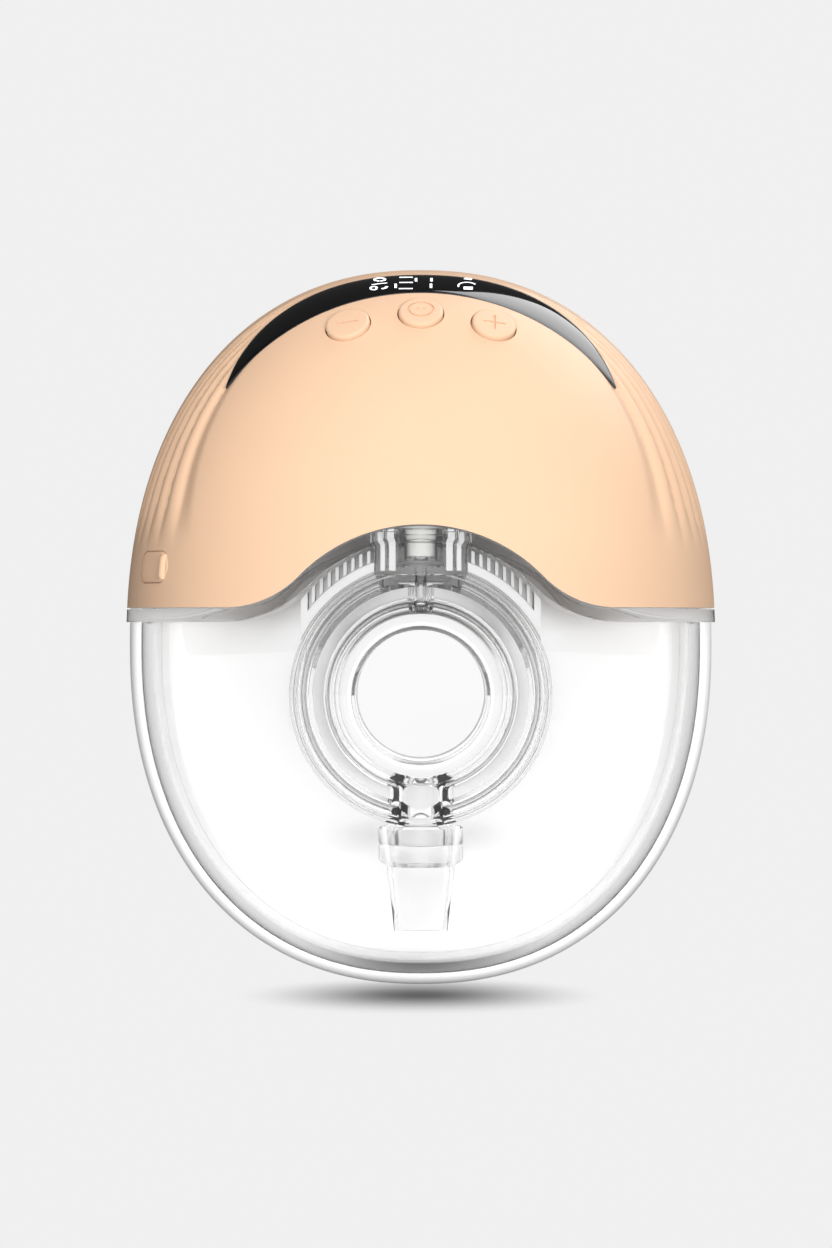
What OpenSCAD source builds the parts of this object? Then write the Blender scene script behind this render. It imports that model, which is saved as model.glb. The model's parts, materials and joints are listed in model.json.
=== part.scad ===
// Wearable breast pump: a clear milk collector, a silicone breast shield behind it,
// and a battery-powered suction unit that lifts off the top of the collector.
// +Z is up, -Y is the domed front and +Y is the side worn against the body.

/* [Outline] */
// Full width across the widest line
pump_w = 112; // [92:1:136]
// Height of the outline above the widest line
upper_h = 71.3; // [64:0.1:86]
// Height of the outline below the widest line
lower_h = 65.3; // [58:0.1:80]
// Depth of the domed front
dome_depth = 48.5; // [44:0.5:58]
// Depth from the dome's widest plane to the back of the shield
back_depth = 22; // [18:1:28]
// Squareness of the outline, where 2 is an ellipse
outline_power = 2.23; // [2:0.01:2.6]

/* [Parting line] */
// Height of the straight stretches of the parting line above the widest line
wave_flat = 6.9; // [4:0.1:10]
// Radius of the arch in the parting line, centred on the tunnel
crest_r = 31; // [30:0.5:36]
// Radius of the sweep that joins arch and straight stretch
wave_fillet = 19; // [12:1:26]
// Gap between the suction unit and the collector's shelf
part_gap = 0.3; // [0.2:0.05:0.5]

/* [Suction unit housing] */
// Wall of the housing
case_wall = 2.2; // [1.8:0.1:2.6]
// Depth of the straight skirt behind the dome
skirt_depth = 4; // [3.4:0.1:5]
// Thickness of the back cover
cover_t = 2; // [1.6:0.1:2.4]
// Diameter of a housing screw's thread
screw_d = 2; // [1.6:0.1:2.4]

/* [Display] */
// Distance of the crescent's upper edge below the top of the outline
lens_drop = 1.7; // [1.2:0.1:3]
// Width of the strip of lens at the middle
lens_band = 3.7; // [3:0.1:5]
// Thickness of the lens
lens_t = 0.9; // [0.7:0.1:1.1]

/* [Buttons] */
// Diameter of a button
button_d = 8.3; // [7:0.1:10]
// Spacing of the buttons across the front
button_pitch = 13.5; // [12:0.1:17]
// Distance of the middle button below the top of the outline
button_drop = 9.8; // [9:0.1:12]
// Travel of a button
button_travel = 0.5; // [0.3:0.1:0.6]

/* [Collector] */
// Wall of the clear collector
cup_wall = 2; // [1.6:0.1:2.6]
// How far the collector lies inside the outline, behind which the shield's bead shows
cup_inset = 2.8; // [2.4:0.1:3.4]
// How far the collector's front lies behind the suction unit's
cup_sink = 0.5; // [0.2:0.1:1.5]
// Thickness of the collector's shelf under the suction unit
shelf_t = 2.4; // [2:0.1:2.8]

/* [Tunnel and shield] */
// Inside diameter of the shield's tunnel
tunnel_d = 24; // [20:0.5:29]
// Distance of the tunnel's axis below the widest line
tunnel_drop = 9.1; // [7:0.1:11]
// Wall of the silicone tunnel
tunnel_wall = 2.6; // [2:0.1:3]
// Wall of the silicone flange
shield_wall = 2; // [1.6:0.1:2.4]

/* [Linker and valve] */
// Outside diameter of the linker's rim
linker_d = 48.4; // [47:0.2:50]
// Width of the socket block that takes the air port
block_w = 17.2; // [16:0.2:20]
// Outside diameter of the duckbill valve's collar
valve_d = 15.7; // [14:0.1:18]
// Length of the duckbill valve
valve_len = 19; // [16:0.5:20]

/* [Pump and power] */
// Diameter of the pump motor
motor_d = 22; // [19:0.5:24]
// Length of the pump motor
motor_len = 24; // [20:0.5:26]
// Width of the battery
battery_w = 46; // [38:1:48]
// Height of the battery
battery_h = 32; // [28:1:34]

/* [Hidden] */

$fn = 64;
outline_steps = 64;
dome_steps = 13;
far = 90;
fit = 0.15;
run = 0.05;

half_w = pump_w / 2;
zw = lower_h;
base_y = (dome_depth - cup_sink - back_depth) / 2;
rear_y = base_y + skirt_depth;
back_y = base_y + back_depth;
tunnel_r = tunnel_d / 2;
tunnel_z = zw - tunnel_drop;

// Signed power that squares off a circle.
function squared(v) = sign(v) * pow(abs(v), 2 / outline_power);
// Outline, drawn in by an inset, about the middle of the widest line.
function outline(inset = 0) = [for (i = [0:outline_steps - 1])
  let (t = 360 * i / outline_steps, h = sin(t) > 0 ? upper_h : lower_h)
  [(half_w - inset) * squared(cos(t)), (h - inset) * squared(sin(t))]];
function ring(flat, s, y) = [for (p = flat) [s * p.x, y, zw + s * p.y]];
// Share of the depth that is left at a place on the dome's front.
function swell(x, h) = sqrt(1 - pow(abs(x) / half_w, outline_power)
  - pow(abs(h) / (h > 0 ? upper_h : lower_h), outline_power));
function skin_point(x, h) = [x, base_y - dome_depth * swell(x, h), zw + h];
function skin_normal(x, h) = [
  outline_power * sign(x) * pow(abs(x) / half_w, outline_power - 1) / half_w,
  -2 * swell(x, h) / dome_depth,
  outline_power * pow(abs(h) / upper_h, outline_power - 1) / upper_h];

// Skin through closed rings of points, with a point or a flat face at each end.
function wall_faces(n, rings) = [for (k = [0:rings - 2], i = [0:n - 1])
  let (a = k * n + i, b = k * n + (i + 1) % n) each [[a, a + n, b + n], [a, b + n, b]]];

// Domed solid with a straight skirt back to y = back. Its outline is drawn in by an
// inset, and its front lies back by a sink, which is the inset unless it is given.
module dome(inset, back, sink = undef) {
  n = outline_steps;
  flat = outline(inset);
  depth = dome_depth - (is_undef(sink) ? inset : sink);
  rings = concat([ring(flat, 1, back)], [for (k = [0:dome_steps - 1])
    let (t = 90 * k / dome_steps)
    ring(flat, pow(cos(t), 2 / outline_power), base_y - depth * sin(t))]);
  last = len(rings) * n;
  points = concat([for (r = rings) each r], [[0, base_y - depth, zw]]);
  polyhedron(points, concat([[for (i = [0:n - 1]) i]], wall_faces(n, len(rings)),
    [for (i = [0:n - 1]) [last - n + i, last, last - n + (i + 1) % n]]));
}

// Stands a flat shape, drawn about the widest line, upright from y0 to y1.
module upright(y0, y1)
  translate([0, y1, zw]) rotate([90, 0, 0]) linear_extrude(y1 - y0) children();

module oval(inset) polygon(outline(inset));

// Everything under the parting line, lowered by drop.
module below_wave(drop) {
  r = crest_r - drop;
  f = wave_fillet + drop;
  h = wave_flat - drop;
  sweep_x = sqrt(pow(crest_r + wave_fillet, 2) - pow(wave_flat + tunnel_drop + wave_fillet, 2));
  meet = r / (r + f);
  translate([-far, -far]) square([2 * far, far + h]);
  translate([0, -tunnel_drop]) circle(r);
  for (m = [0, 1]) mirror([m, 0]) difference() {
    polygon([[0, h], [sweep_x, h], [sweep_x * meet, (h + tunnel_drop + f) * meet - tunnel_drop]]);
    translate([sweep_x, h + f]) circle(f);
  }
}

module above_wave(drop) difference() {
  translate([-far, -far]) square(2 * far);
  below_wave(drop);
}

module along_y(x, h, y0, y1, r)
  translate([x, y1, zw + h]) rotate([90, 0, 0]) cylinder(r = r, h = y1 - y0);

module along_x(y, h, x0, x1, r)
  translate([x0, y, zw + h]) rotate([0, 90, 0]) cylinder(r = r, h = x1 - x0);

module along_z(x, y, h0, h1, r) translate([x, y, zw + h0]) cylinder(r = r, h = h1 - h0);

// Box from its lowest and highest corners, with heights above the widest line.
module box(a, b) translate([a.x, a.y, zw + a.z]) cube(b - a);

// Moves to the dome's skin with +Z along the skin's normal.
module on_skin(x, h) {
  n = skin_normal(x, h);
  translate(skin_point(x, h)) rotate([0, acos(n.z / norm(n)), atan2(n.y, n.x)]) children();
}

// Tube along the tunnel's axis, turned from a profile of [radius, y] points.
module turned_on_tunnel(profile)
  translate([0, 0, tunnel_z]) rotate([-90, 0, 0]) rotate_extrude() polygon(profile);

// ---- collector side ----

valve_y = -7;
air_y = -8;
tube_r = tunnel_r + tunnel_wall + fit;
tube_wall = 1.8;
linker_front_y = -19;
linker_rear_y = 6;
front_t = 2;
collar_t = 0.8;
rim_front_y = -15;
rim_rear_y = -3;
rim_wall = 1.4;
rim_bite = 0.7;
web_y = -12;
web_t = 2;
post_w = 4.8;
bore_w = 2.4;
rim_r = linker_d / 2;
saddle_r = rim_r + 1.8;
rib_r = crest_r - part_gap / 2 - shelf_t - 0.3;
deck_y = rear_y + 0.4;
deck_t = 1.6;
cup_back_y = deck_y + 9;
bead_y = deck_y + 2.1;
lap = 0.1;
deck_hole_r = crest_r - 0.5;
flange_y = 8;
flange_gap = 0.8;
seat = 0.4;
lip = cup_inset - 0.2;
wrap = lip + 1.4;
block_top = sqrt(pow(crest_r, 2) - pow(block_w / 2, 2)) - tunnel_drop - part_gap;
block_low = rim_r - tunnel_drop - 2.2;
socket_r = block_w / 2 - 2.1;
socket_depth = 6;
port_r = 4;
collar_wall = 1.85;
collar_drop = 3.4;
port_wall = 1.6;
spigot_r = valve_d / 2 - collar_wall;
valve_top = -tunnel_drop - rim_r - 0.1;

module milk_collector() color("white", 0.35) difference() {
  union() {
    cup_shell();
    cup_shelf();
    cup_deck();
    cup_rim();
  }
  translate([-block_w / 2 - fit, air_y - block_w / 2 - fit, zw + block_low])
    cube([block_w + 2 * fit, block_w + 2 * fit, crest_r]);
  along_y(0, -tunnel_drop, deck_y - 1, deck_y + deck_t + 1, deck_hole_r);
}

// Domed wall of the cup, up to just under the top of its shelf.
module cup_shell() {
  back = deck_y + 0.8;
  intersection() {
    dome(cup_inset + lap, back, cup_sink);
    upright(-far, back) below_wave(part_gap / 2 + 5 * lap);
    difference() {
      translate([-far, -far, -far]) cube([2 * far, far + back, 3 * far]);
      dome(cup_inset + cup_wall, back + 1, cup_sink + cup_wall);
    }
  }
}

// Wavy shelf that the suction unit sits on.
module cup_shelf() intersection() {
  dome(0, deck_y + 3 * lap);
  upright(-far, deck_y + 1) difference() {
    below_wave(part_gap / 2);
    below_wave(part_gap / 2 + shelf_t);
  }
}

// Plate behind the suction unit.
module cup_deck() upright(deck_y, deck_y + deck_t) difference() {
  oval(cup_inset + 4 * lap);
  below_wave(part_gap / 2 + shelf_t - 4 * lap);
}

// Rim round the back that the shield wraps.
module cup_rim() upright(deck_y + lap, cup_back_y) difference() {
  oval(cup_inset);
  oval(cup_inset + cup_wall - lap);
}

module linker() color("white", 0.45) difference() {
  inner_y = linker_front_y + front_t;
  port_top = -tunnel_drop - tube_r;
  union() {
    turned_on_tunnel([[0, linker_front_y], [tube_r - 1.2, linker_front_y],
      [tube_r + tube_wall, linker_front_y + 3], [tube_r + tube_wall, linker_rear_y],
      [tube_r, linker_rear_y], [tube_r, inner_y], [0, inner_y]]);
    linker_ring(tunnel_r, tunnel_r + collar_t, linker_front_y - collar_t, linker_front_y + 0.5);
    linker_ring(tube_r + 1, rim_r, web_y, web_y + web_t);
    linker_ring(rim_r - rim_wall, rim_r, rim_front_y, rim_rear_y);
    linker_saddle();
    translate([-block_w / 2, air_y - block_w / 2, zw + block_low])
      cube([block_w, block_w, block_top - block_low]);
    along_z(0, air_y, tube_r - tunnel_drop + 0.5, block_low + 0.5, post_w / 2);
    along_z(0, valve_y, valve_top - collar_drop, port_top, spigot_r);
  }
  linker_ring(0, tube_r, inner_y, linker_rear_y + 1);
  along_z(0, air_y, block_top - socket_depth, block_top + 1, socket_r);
  along_z(0, air_y, tube_r - tunnel_drop - 1, block_top - socket_depth + 0.5, bore_w / 2);
  along_z(0, valve_y, valve_top - collar_drop - 1, port_top + 2, spigot_r - port_wall);
}

// Ring about the tunnel's axis from radius r0 to r1 and from y0 to y1.
module linker_ring(r0, r1, y0, y1) turned_on_tunnel([[r0, y0], [r1, y0], [r1, y1], [r0, y1]]);

// Saddle that hooks the linker under the collector's shelf, with its row of thin ribs.
module linker_saddle() {
  span = 22;
  rib_pitch = 1.45;
  rib_t = 0.6;
  rib_len = 8;
  hook_t = 1.2;
  intersection() {
    linker_ring(rim_r - rim_bite, saddle_r, rim_front_y, rim_rear_y);
    box([-span, rim_front_y - 1, -tunnel_drop], [span, rim_rear_y + 1, crest_r]);
  }
  intersection() {
    linker_ring(rim_r - rim_bite, rib_r, rim_front_y, rim_rear_y);
    union() {
      for (m = [-1, 1], i = [0:8])
        translate([m * (block_w / 2 + 1 + i * rib_pitch) - rib_t / 2, rim_front_y + 1, tunnel_z])
          cube([rib_t, rib_len, crest_r]);
      for (m = [-1, 1])
        translate([m * (span - hook_t / 2) - hook_t / 2, rim_front_y, tunnel_z])
          cube([hook_t, rim_rear_y - rim_front_y, crest_r]);
    }
  }
}

// Silicone cup that passes the suction on and keeps milk out of the suction unit.
module suction_diaphragm() color("whitesmoke", 0.8)
  translate([0, air_y, zw + block_top - socket_depth]) rotate_extrude() polygon([
    [0, 0.3], [socket_r - fit, 0.3], [socket_r - fit, 5.7], [port_r + fit, 5.7],
    [port_r + fit, 4.5], [socket_r - 1.1, 4.5], [socket_r - 1.1, 1.1], [2.4, 1.1], [1.6, 1.9], [0, 1.9]]);

module duckbill_valve() color("whitesmoke", 0.8) {
  collar = 6.4;
  throat_r = spigot_r + 0.25;
  throat_wall = 1;
  seat_end = collar_drop + 0.2;
  throat_end = collar + 2.6;
  lip_w = 9.9;
  lip_t = 1.8;
  slit_t = 0.5;
  difference() {
    translate([0, valve_y, zw + valve_top]) rotate([180, 0, 0]) rotate_extrude() polygon([
      [throat_r - fit, 0], [valve_d / 2, 0], [valve_d / 2, collar], [throat_r, collar + 1],
      [throat_r, throat_end], [throat_r - throat_wall, throat_end],
      [throat_r - throat_wall, seat_end], [throat_r - fit, seat_end]]);
    along_z(0, valve_y, valve_top - seat_end + run, valve_top + 1, spigot_r + run);
  }
  difference() {
    duckbill(throat_end, throat_r, lip_w, lip_t, 0);
    duckbill(throat_end, throat_r - throat_wall, lip_w - 2, slit_t, 0.3);
  }
}

// Wedge from a round throat to flat lips.
module duckbill(top, r, lip_w, lip_t, extra) hull() {
  along_z(0, valve_y, valve_top - top - 0.3, valve_top - top + extra, r, $fn = 32);
  box([-lip_w / 2, valve_y - lip_t / 2, valve_top - valve_len - extra],
    [lip_w / 2, valve_y + lip_t / 2, valve_top - valve_len + 1]);
}

// Point on the shield's flange: s runs from the round throat, 0, to the outline, 1.
function flange_ring(s, r, inset, y) = let (n = outline_steps, flat = outline(inset))
  [for (i = [0:n - 1]) [
    (1 - s) * r * cos(360 * i / n) + s * flat[i].x, y,
    zw + (1 - s) * (r * sin(360 * i / n) - tunnel_drop) + s * flat[i].y]];
// Power of the flange's curve, which takes it behind the deck at the edge of the deck's hole.
flange_power = let (reach = deck_hole_r - tunnel_r - shield_wall,
    clear = deck_y + deck_t + flange_gap + shield_wall + seat - flange_y)
  ln(clear / (back_y - flange_y)) / ln(reach / (upper_h + tunnel_drop - wrap - tunnel_r - shield_wall));
function flange_depth(s) = flange_y + (back_y - flange_y) * pow(s, flange_power);

module breast_shield() color("ghostwhite", 0.9) difference() {
  union() {
    shield_flange();
    turned_on_tunnel([[tunnel_r - 0.5, -2.5], [tunnel_r + tunnel_wall, -2.5],
      [tunnel_r + tunnel_wall, flange_y + 1], [tunnel_r - 0.5, flange_y + 1]]);
  }
  along_y(0, -tunnel_drop, -3, flange_y + 1, tunnel_r);
}

// Flange with a rim that wraps the back of the collector.
module shield_flange() {
  n = outline_steps;
  steps = 8;
  breast = [for (k = [0:steps]) let (s = 0.93 * pow(1 - k / steps, 2))
    flange_ring(s, tunnel_r, wrap, flange_depth(s) - seat)];
  front = [for (k = [0:steps]) let (s = 0.93 * pow(k / steps, 2))
    flange_ring(s, tunnel_r + shield_wall, wrap, flange_depth(s) - seat - shield_wall)];
  rings = concat([flange_ring(1, 0, 0, bead_y), flange_ring(1, 0, 0, back_y - 2.4),
    flange_ring(1, 0, 0.8, back_y - 0.7), flange_ring(1, 0, 2.6, back_y)],
    breast, front, [flange_ring(1, 0, lip, cup_back_y + 2.2), flange_ring(1, 0, lip, bead_y)]);
  m = len(rings);
  polyhedron([for (r = rings) each r], [for (k = [0:m - 1], i = [0:n - 1])
    let (a = k * n + i, b = k * n + (i + 1) % n, c = (k + 1) % m * n)
    each [[a, b, c + (i + 1) % n], [a, c + (i + 1) % n, c + i]]]);
}

// ---- suction unit: case, display and buttons ----

floor_t = 2;
cover_y = rear_y - cover_t;
post_r = 3.2;
screw_places = [for (m = [-1, 1]) each [
  [m * 0.72 * half_w, wave_flat + floor_t + post_r - 0.6], [m * 0.53 * half_w, 0.73 * upper_h]]];
button_h = upper_h - button_drop;
button_side_drop = 2.2;
stem_end = 4.8;
button_places = [[-button_pitch, button_h - button_side_drop], [0, button_h],
  [button_pitch, button_h - button_side_drop]];
lens_recess = 0.1;
lens_top = upper_h - lens_drop;
lens_reach = 0.648 * half_w;
lens_tip = lens_top - 21.5;

// Crescent between a squared arch and a circular arc that meet at its tips.
module crescent(grow) {
  sag = lens_top - lens_band - lens_tip;
  arc_r = (pow(lens_reach, 2) + pow(sag, 2)) / (2 * sag);
  arch_w = lens_reach * 1.033;
  arch_h = (lens_top - lens_tip) / 0.681;
  difference() {
    polygon([for (i = [0:2:180]) [
      (arch_w + grow) * squared(cos(i)), lens_top - arch_h + (arch_h + grow) * squared(sin(i))]]);
    translate([0, lens_top - lens_band - arc_r]) circle(arc_r - grow, $fn = 120);
  }
}

module housing_front() color("#f6cfa6") difference() {
  intersection() {
    dome(0, rear_y);
    upright(-far, rear_y) above_wave(-part_gap / 2);
    union() {
      difference() {
        translate([-far, -far, -far]) cube([2 * far, 2 * far, 4 * far]);
        dome(case_wall, rear_y + 1);
      }
      upright(-far, rear_y) below_wave(-floor_t);
      for (p = screw_places) along_y(p.x, p.y, p.y < upper_h / 2 ? base_y - 10 : -far, cover_y, post_r);
      along_z(0, air_y, crest_r - tunnel_drop - 1, port_base, boss_r);
    }
  }
  difference() {
    upright(-far, base_y - 1) crescent(fit);
    dome(lens_recess + lens_t + 0.1, rear_y);
  }
  on_skin(0, lens_top - lens_band / 2) cube([3, 29, 8], center = true);
  for (p = button_places) on_skin(p.x, p.y) translate([0, 0, -4]) cylinder(d = button_d + 0.4, h = 6);
  for (p = screw_places) along_y(p.x, p.y, cover_y - 8, cover_y + 1, screw_d / 2 - 0.15);
  along_z(0, air_y, crest_r - tunnel_drop - 2, crest_r - tunnel_drop + 5, port_r + fit);
  along_z(0, air_y, port_base - seal_t - 0.1, port_base + 1, port_r + seal_t + 2 * fit);
  at_usb() usb_cutout();
}

module housing_back() color("#efc49a") difference() {
  upright(cover_y, rear_y) difference() {
    oval(case_wall + fit);
    below_wave(-floor_t - fit);
  }
  for (p = screw_places) {
    along_y(p.x, p.y, cover_y - 1, rear_y + 1, screw_d / 2 + 0.2);
    along_y(p.x, p.y, rear_y - 1.2, rear_y + 1, screw_d + 0.3);
  }
}

module case_screws() color("silver") for (p = screw_places) {
  along_y(p.x, p.y, cover_y - 6, rear_y - 1.1, screw_d / 2 - 0.2);
  along_y(p.x, p.y, rear_y - 1.15, rear_y - 0.1, screw_d);
}

module display_lens() color("#0b0b0e") intersection() {
  upright(-far, base_y - 1) crescent(0);
  difference() {
    dome(lens_recess, base_y);
    dome(lens_recess + lens_t, base_y + 1);
  }
}

module display_board() color("darkgreen") on_skin(0, lens_top - lens_band / 2) {
  translate([0, 0, -5.2]) cube([6, 31, 1], center = true);
  translate([0, 0, -3.8]) cube([2.4, 27, 2], center = true);
}

module button(x, h) on_skin(x, h) {
  r = button_d / 2;
  translate([0, 0, -3.2]) cylinder(r = r - 0.35, h = 3.6);
  translate([0, 0, -1.2]) rotate_extrude()
    polygon([[0, 0], [r, 0], [r, 1.6], [r - 0.45, 2], [0, 2]]);
  translate([0, 0, -3.8]) cylinder(r = r + 0.8, h = 0.61);
  translate([0, 0, -stem_end]) cylinder(r = 1.2, h = 1.1);
}

// Sunk mark on a button's face.
module bar(len, turn = 0) rotate([0, 0, turn]) translate([0, 0, 0.75]) cube([0.5, len, 0.5], center = true);

module button_minus() color("#f6cfa6") difference() {
  button(button_places[0].x, button_places[0].y);
  on_skin(button_places[0].x, button_places[0].y) bar(4.2);
}

module button_mode() color("#f6cfa6") difference() {
  button(button_places[1].x, button_places[1].y);
  on_skin(button_places[1].x, button_places[1].y) translate([0, 0, 0.5]) difference() {
    cylinder(r = 2.1, h = 1);
    translate([0, 0, -1]) cylinder(r = 1.6, h = 3);
  }
}

module button_plus() color("#f6cfa6") difference() {
  button(button_places[2].x, button_places[2].y);
  on_skin(button_places[2].x, button_places[2].y) for (turn = [0, 90]) bar(4.2, turn);
}

module switch_board() color("#c77f2a") {
  for (p = button_places) on_skin(p.x, p.y) translate([0, 0, -7.8]) cylinder(r = 3.6, h = 0.8);
  for (i = [0, 1]) hull() for (k = [0, 1]) on_skin(button_places[i + k].x, button_places[i + k].y)
    translate([0, (k == 0 ? 1 : -1) * 3, -7.6]) cylinder(r = 1.2, h = 0.4, $fn = 16);
}

module tact_switches() color("dimgray") for (p = button_places) on_skin(p.x, p.y) {
  top = stem_end + button_travel + 0.1;
  translate([-2, -2, -top - 1.55]) cube([4, 4, 1.2]);
  translate([0, 0, -top - 0.4]) cylinder(r = 1, h = 0.4);
}

// ---- suction unit: pump, power and air path ----

port_base = crest_r - tunnel_drop + floor_t + 0.6;
port_flange_t = 1.2;
port_flange_r = 6.8;
boss_r = 7.4;
seal_t = 1.3;
hose_h = port_base + 1.9;
pump_h = port_base + 5 + motor_d / 2;
pump_y = -6.5;
board_y = pump_y + motor_d / 2 + 1.5;
board_t = 1.6;
motor_x = 1;
head_len = 16;
cover_len = 4;
head_x = motor_x - 2 - head_len;
hose_r = 2.2;
nozzle_r = 1.5;
hose_start = boss_r + 0.1;
nozzle_x = hose_start + 3.5;
release_x = motor_x + motor_len + 7;
release_h = wave_flat + floor_t + 8;
hose_x = head_x - cover_len - 6;
spring_top = 6.3;

module main_board() color("darkgreen") box([-battery_w / 2, board_y, pump_h - 15],
  [battery_w / 2, board_y + board_t, pump_h + 15]);

module board_chips() color("#222222") {
  for (x = [-18, -8, 4, 14]) box([x, board_y - 1.1, pump_h + motor_d / 2 + 0.6],
    [x + 5, board_y - 0.05, pump_h + motor_d / 2 + 3.4]);
  for (x = [-21, 14]) box([x, board_y - 1.1, pump_h - 14.6], [x + 6, board_y - 0.05, pump_h - 11.6]);
}

module battery() color("silver") box(
  [-battery_w / 2, board_y + board_t + 0.8, pump_h - battery_h / 2],
  [battery_w / 2, cover_y - 0.7, pump_h + battery_h / 2]);

module battery_pad() color("#333333") box(
  [-battery_w / 2 + 3, board_y + board_t + 0.1, pump_h - battery_h / 2 + 2],
  [battery_w / 2 - 3, board_y + board_t + 0.7, pump_h + battery_h / 2 - 4]);

module motor_can() color("silver") difference() {
  along_x(pump_y, pump_h, motor_x, motor_x + motor_len, motor_d / 2);
  along_x(pump_y, pump_h, motor_x + 1, motor_x + motor_len - 1.5, motor_d / 2 - 0.8);
  along_x(pump_y, pump_h, motor_x - 1, motor_x + 2, 3 + run);
}

module motor_magnets() color("#444444") for (side = [-1, 1]) intersection() {
  difference() {
    along_x(pump_y, pump_h, motor_x + 4, motor_x + motor_len - 5, motor_d / 2 - 0.9);
    along_x(pump_y, pump_h, motor_x + 3, motor_x + motor_len - 4, motor_d / 2 - 2.6);
  }
  box([motor_x, pump_y + side * 12 - 8, pump_h - motor_d], [motor_x + motor_len, pump_y + side * 12 + 8,
    pump_h + motor_d]);
}

module motor_bush() color("goldenrod") difference() {
  along_x(pump_y, pump_h, motor_x - 1.6, motor_x + 1, 3);
  along_x(pump_y, pump_h, motor_x - 3, motor_x + 2, 1 + run);
}

module motor_rotor() color("#b87333") {
  along_x(pump_y, pump_h, motor_x - 9, motor_x + motor_len - 3, 1);
  along_x(pump_y, pump_h, motor_x + 5, motor_x + motor_len - 7, motor_d / 2 - 3.2);
}

module crank() color("dimgray") difference() {
  along_x(pump_y, pump_h + 1, motor_x - 6.5, motor_x - 3, 4);
  along_x(pump_y, pump_h, motor_x - 8, motor_x - 2, 1.01);
}

module motor_saddle() color("#2f2f33") difference() {
  box([motor_x + 4, pump_y + 5, pump_h - 10], [motor_x + motor_len - 4, board_y - 0.2, pump_h + 10]);
  along_x(pump_y, pump_h, motor_x, motor_x + motor_len, motor_d / 2 + run);
}

module pump_head() color("#e8e8e4") difference() {
  box([head_x, pump_y - motor_d / 2 + 1, pump_h - motor_d / 2 + 1],
    [motor_x - 0.1, pump_y + motor_d / 2 - 1, pump_h + motor_d / 2 - 1]);
  along_x(pump_y, pump_h, head_x + 3.4, motor_x - 2, motor_d / 2 - 3);
  along_x(pump_y, pump_h, motor_x - 3, motor_x + 1, 3.1);
  along_x(pump_y, pump_h, head_x - 1, head_x + 4, motor_d / 2 - 2.5);
}

module pump_wobbler() color("#c9c9c4") {
  along_x(pump_y, pump_h, head_x + 5, head_x + 6.6, 6);
  along_x(pump_y, pump_h, head_x + 3.8, head_x + 5.1, 2);
}

module pump_diaphragm() color("#3a3a3a")
  along_x(pump_y, pump_h, head_x + 0.3, head_x + 3.7, motor_d / 2 - 2.7);

module pump_cover() color("#e8e8e4") {
  half = motor_d / 2 - 2.2;
  box([head_x - cover_len, pump_y - half, pump_h - half], [head_x - 0.1, pump_y + half, pump_h + half]);
  along_x(air_y, pump_h, head_x - cover_len - 4, head_x - cover_len + 0.1, nozzle_r);
}

// Quarter turn of hose in the XZ plane about a centre.
module elbow(x, h, bend, from) translate([x, air_y, zw + h]) rotate([90, 0, 0])
  rotate_extrude(angle = 90, start = from) translate([bend, 0]) hose_ring();

module hose_ring() difference() {
  circle(hose_r, $fn = 32);
  circle(nozzle_r + 0.02, $fn = 32);
}

module hose_x(x0, x1, h) translate([x0, air_y, zw + h]) rotate([0, 90, 0])
  linear_extrude(x1 - x0) hose_ring();

// Hose from the pump's outlet round to the air port.
module pump_hose() color("whitesmoke") {
  bend = 3.2;
  tip = head_x - cover_len - 0.6;
  hose_x(hose_x, tip, pump_h);
  elbow(hose_x, pump_h - bend, bend, 90);
  translate([hose_x - bend, air_y, zw + hose_h + bend])
    linear_extrude(pump_h - hose_h - 2 * bend) hose_ring();
  elbow(hose_x, hose_h + bend, bend, 180);
  hose_x(hose_x, -hose_start, hose_h);
}

// Hose from the air port to the release valve.
module release_hose() color("whitesmoke") hose_x(hose_start, release_x - 6.2, hose_h);

module air_port() color("#d9d9d5") difference() {
  union() {
    along_z(0, air_y, block_top - 4, hose_h + 2.4, port_r);
    along_z(0, air_y, port_base + run, port_base + run + port_flange_t, port_flange_r);
    along_x(air_y, hose_h, -nozzle_x, nozzle_x, nozzle_r);
  }
  along_z(0, air_y, block_top - 5, hose_h, 1.6);
  along_x(air_y, hose_h, -nozzle_x - 1, nozzle_x + 1, 0.8);
}

// Ring in the counterbore under the port's flange.
module air_port_seal() color("#2b2b2b")
  translate([0, air_y, zw + port_base - seal_t / 2 - run]) rotate_extrude()
    translate([port_r + seal_t / 2 + run, 0]) circle(seal_t / 2, $fn = 32);

module release_valve() color("#33363c") difference() {
  union() {
    along_z(release_x, air_y, release_h, release_h + 14, 5.5);
    along_x(air_y, hose_h, release_x - 9, release_x - 5, nozzle_r);
  }
  along_z(release_x, air_y, release_h + 2, release_h + 12, 3.6);
  along_z(release_x, air_y, release_h - 1, release_h + 3, 1.5 + run);
}

module release_plunger() color("silver") {
  along_z(release_x, air_y, release_h - 0.5, release_h + 6.5, 1.5);
  along_z(release_x, air_y, release_h + spring_top + 0.1, release_h + 10, 3);
}

// Coil spring under the plunger's head, one round section every 22.5 degrees.
module release_spring() color("silver") {
  turns = 4;
  coil_r = 2.35;
  wire_r = 0.3;
  sides = 8;
  per_turn = 16;
  low = release_h + 2 + wire_r + 0.05;
  rise = release_h + spring_top - wire_r - low;
  steps = turns * per_turn;
  rings = [for (i = [0:steps]) let (a = 360 * i / per_turn) [for (j = [0:sides - 1])
    let (b = 360 * j / sides, r = coil_r + wire_r * cos(b))
    [release_x + r * cos(a), air_y + r * sin(a), zw + low + rise * i / steps + wire_r * sin(b)]]];
  polyhedron([for (r = rings) each r], concat([[for (j = [sides - 1:-1:0]) j]],
    wall_faces(sides, steps + 1), [[for (j = [0:sides - 1]) steps * sides + j]]));
}

// ---- charging port ----

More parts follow.
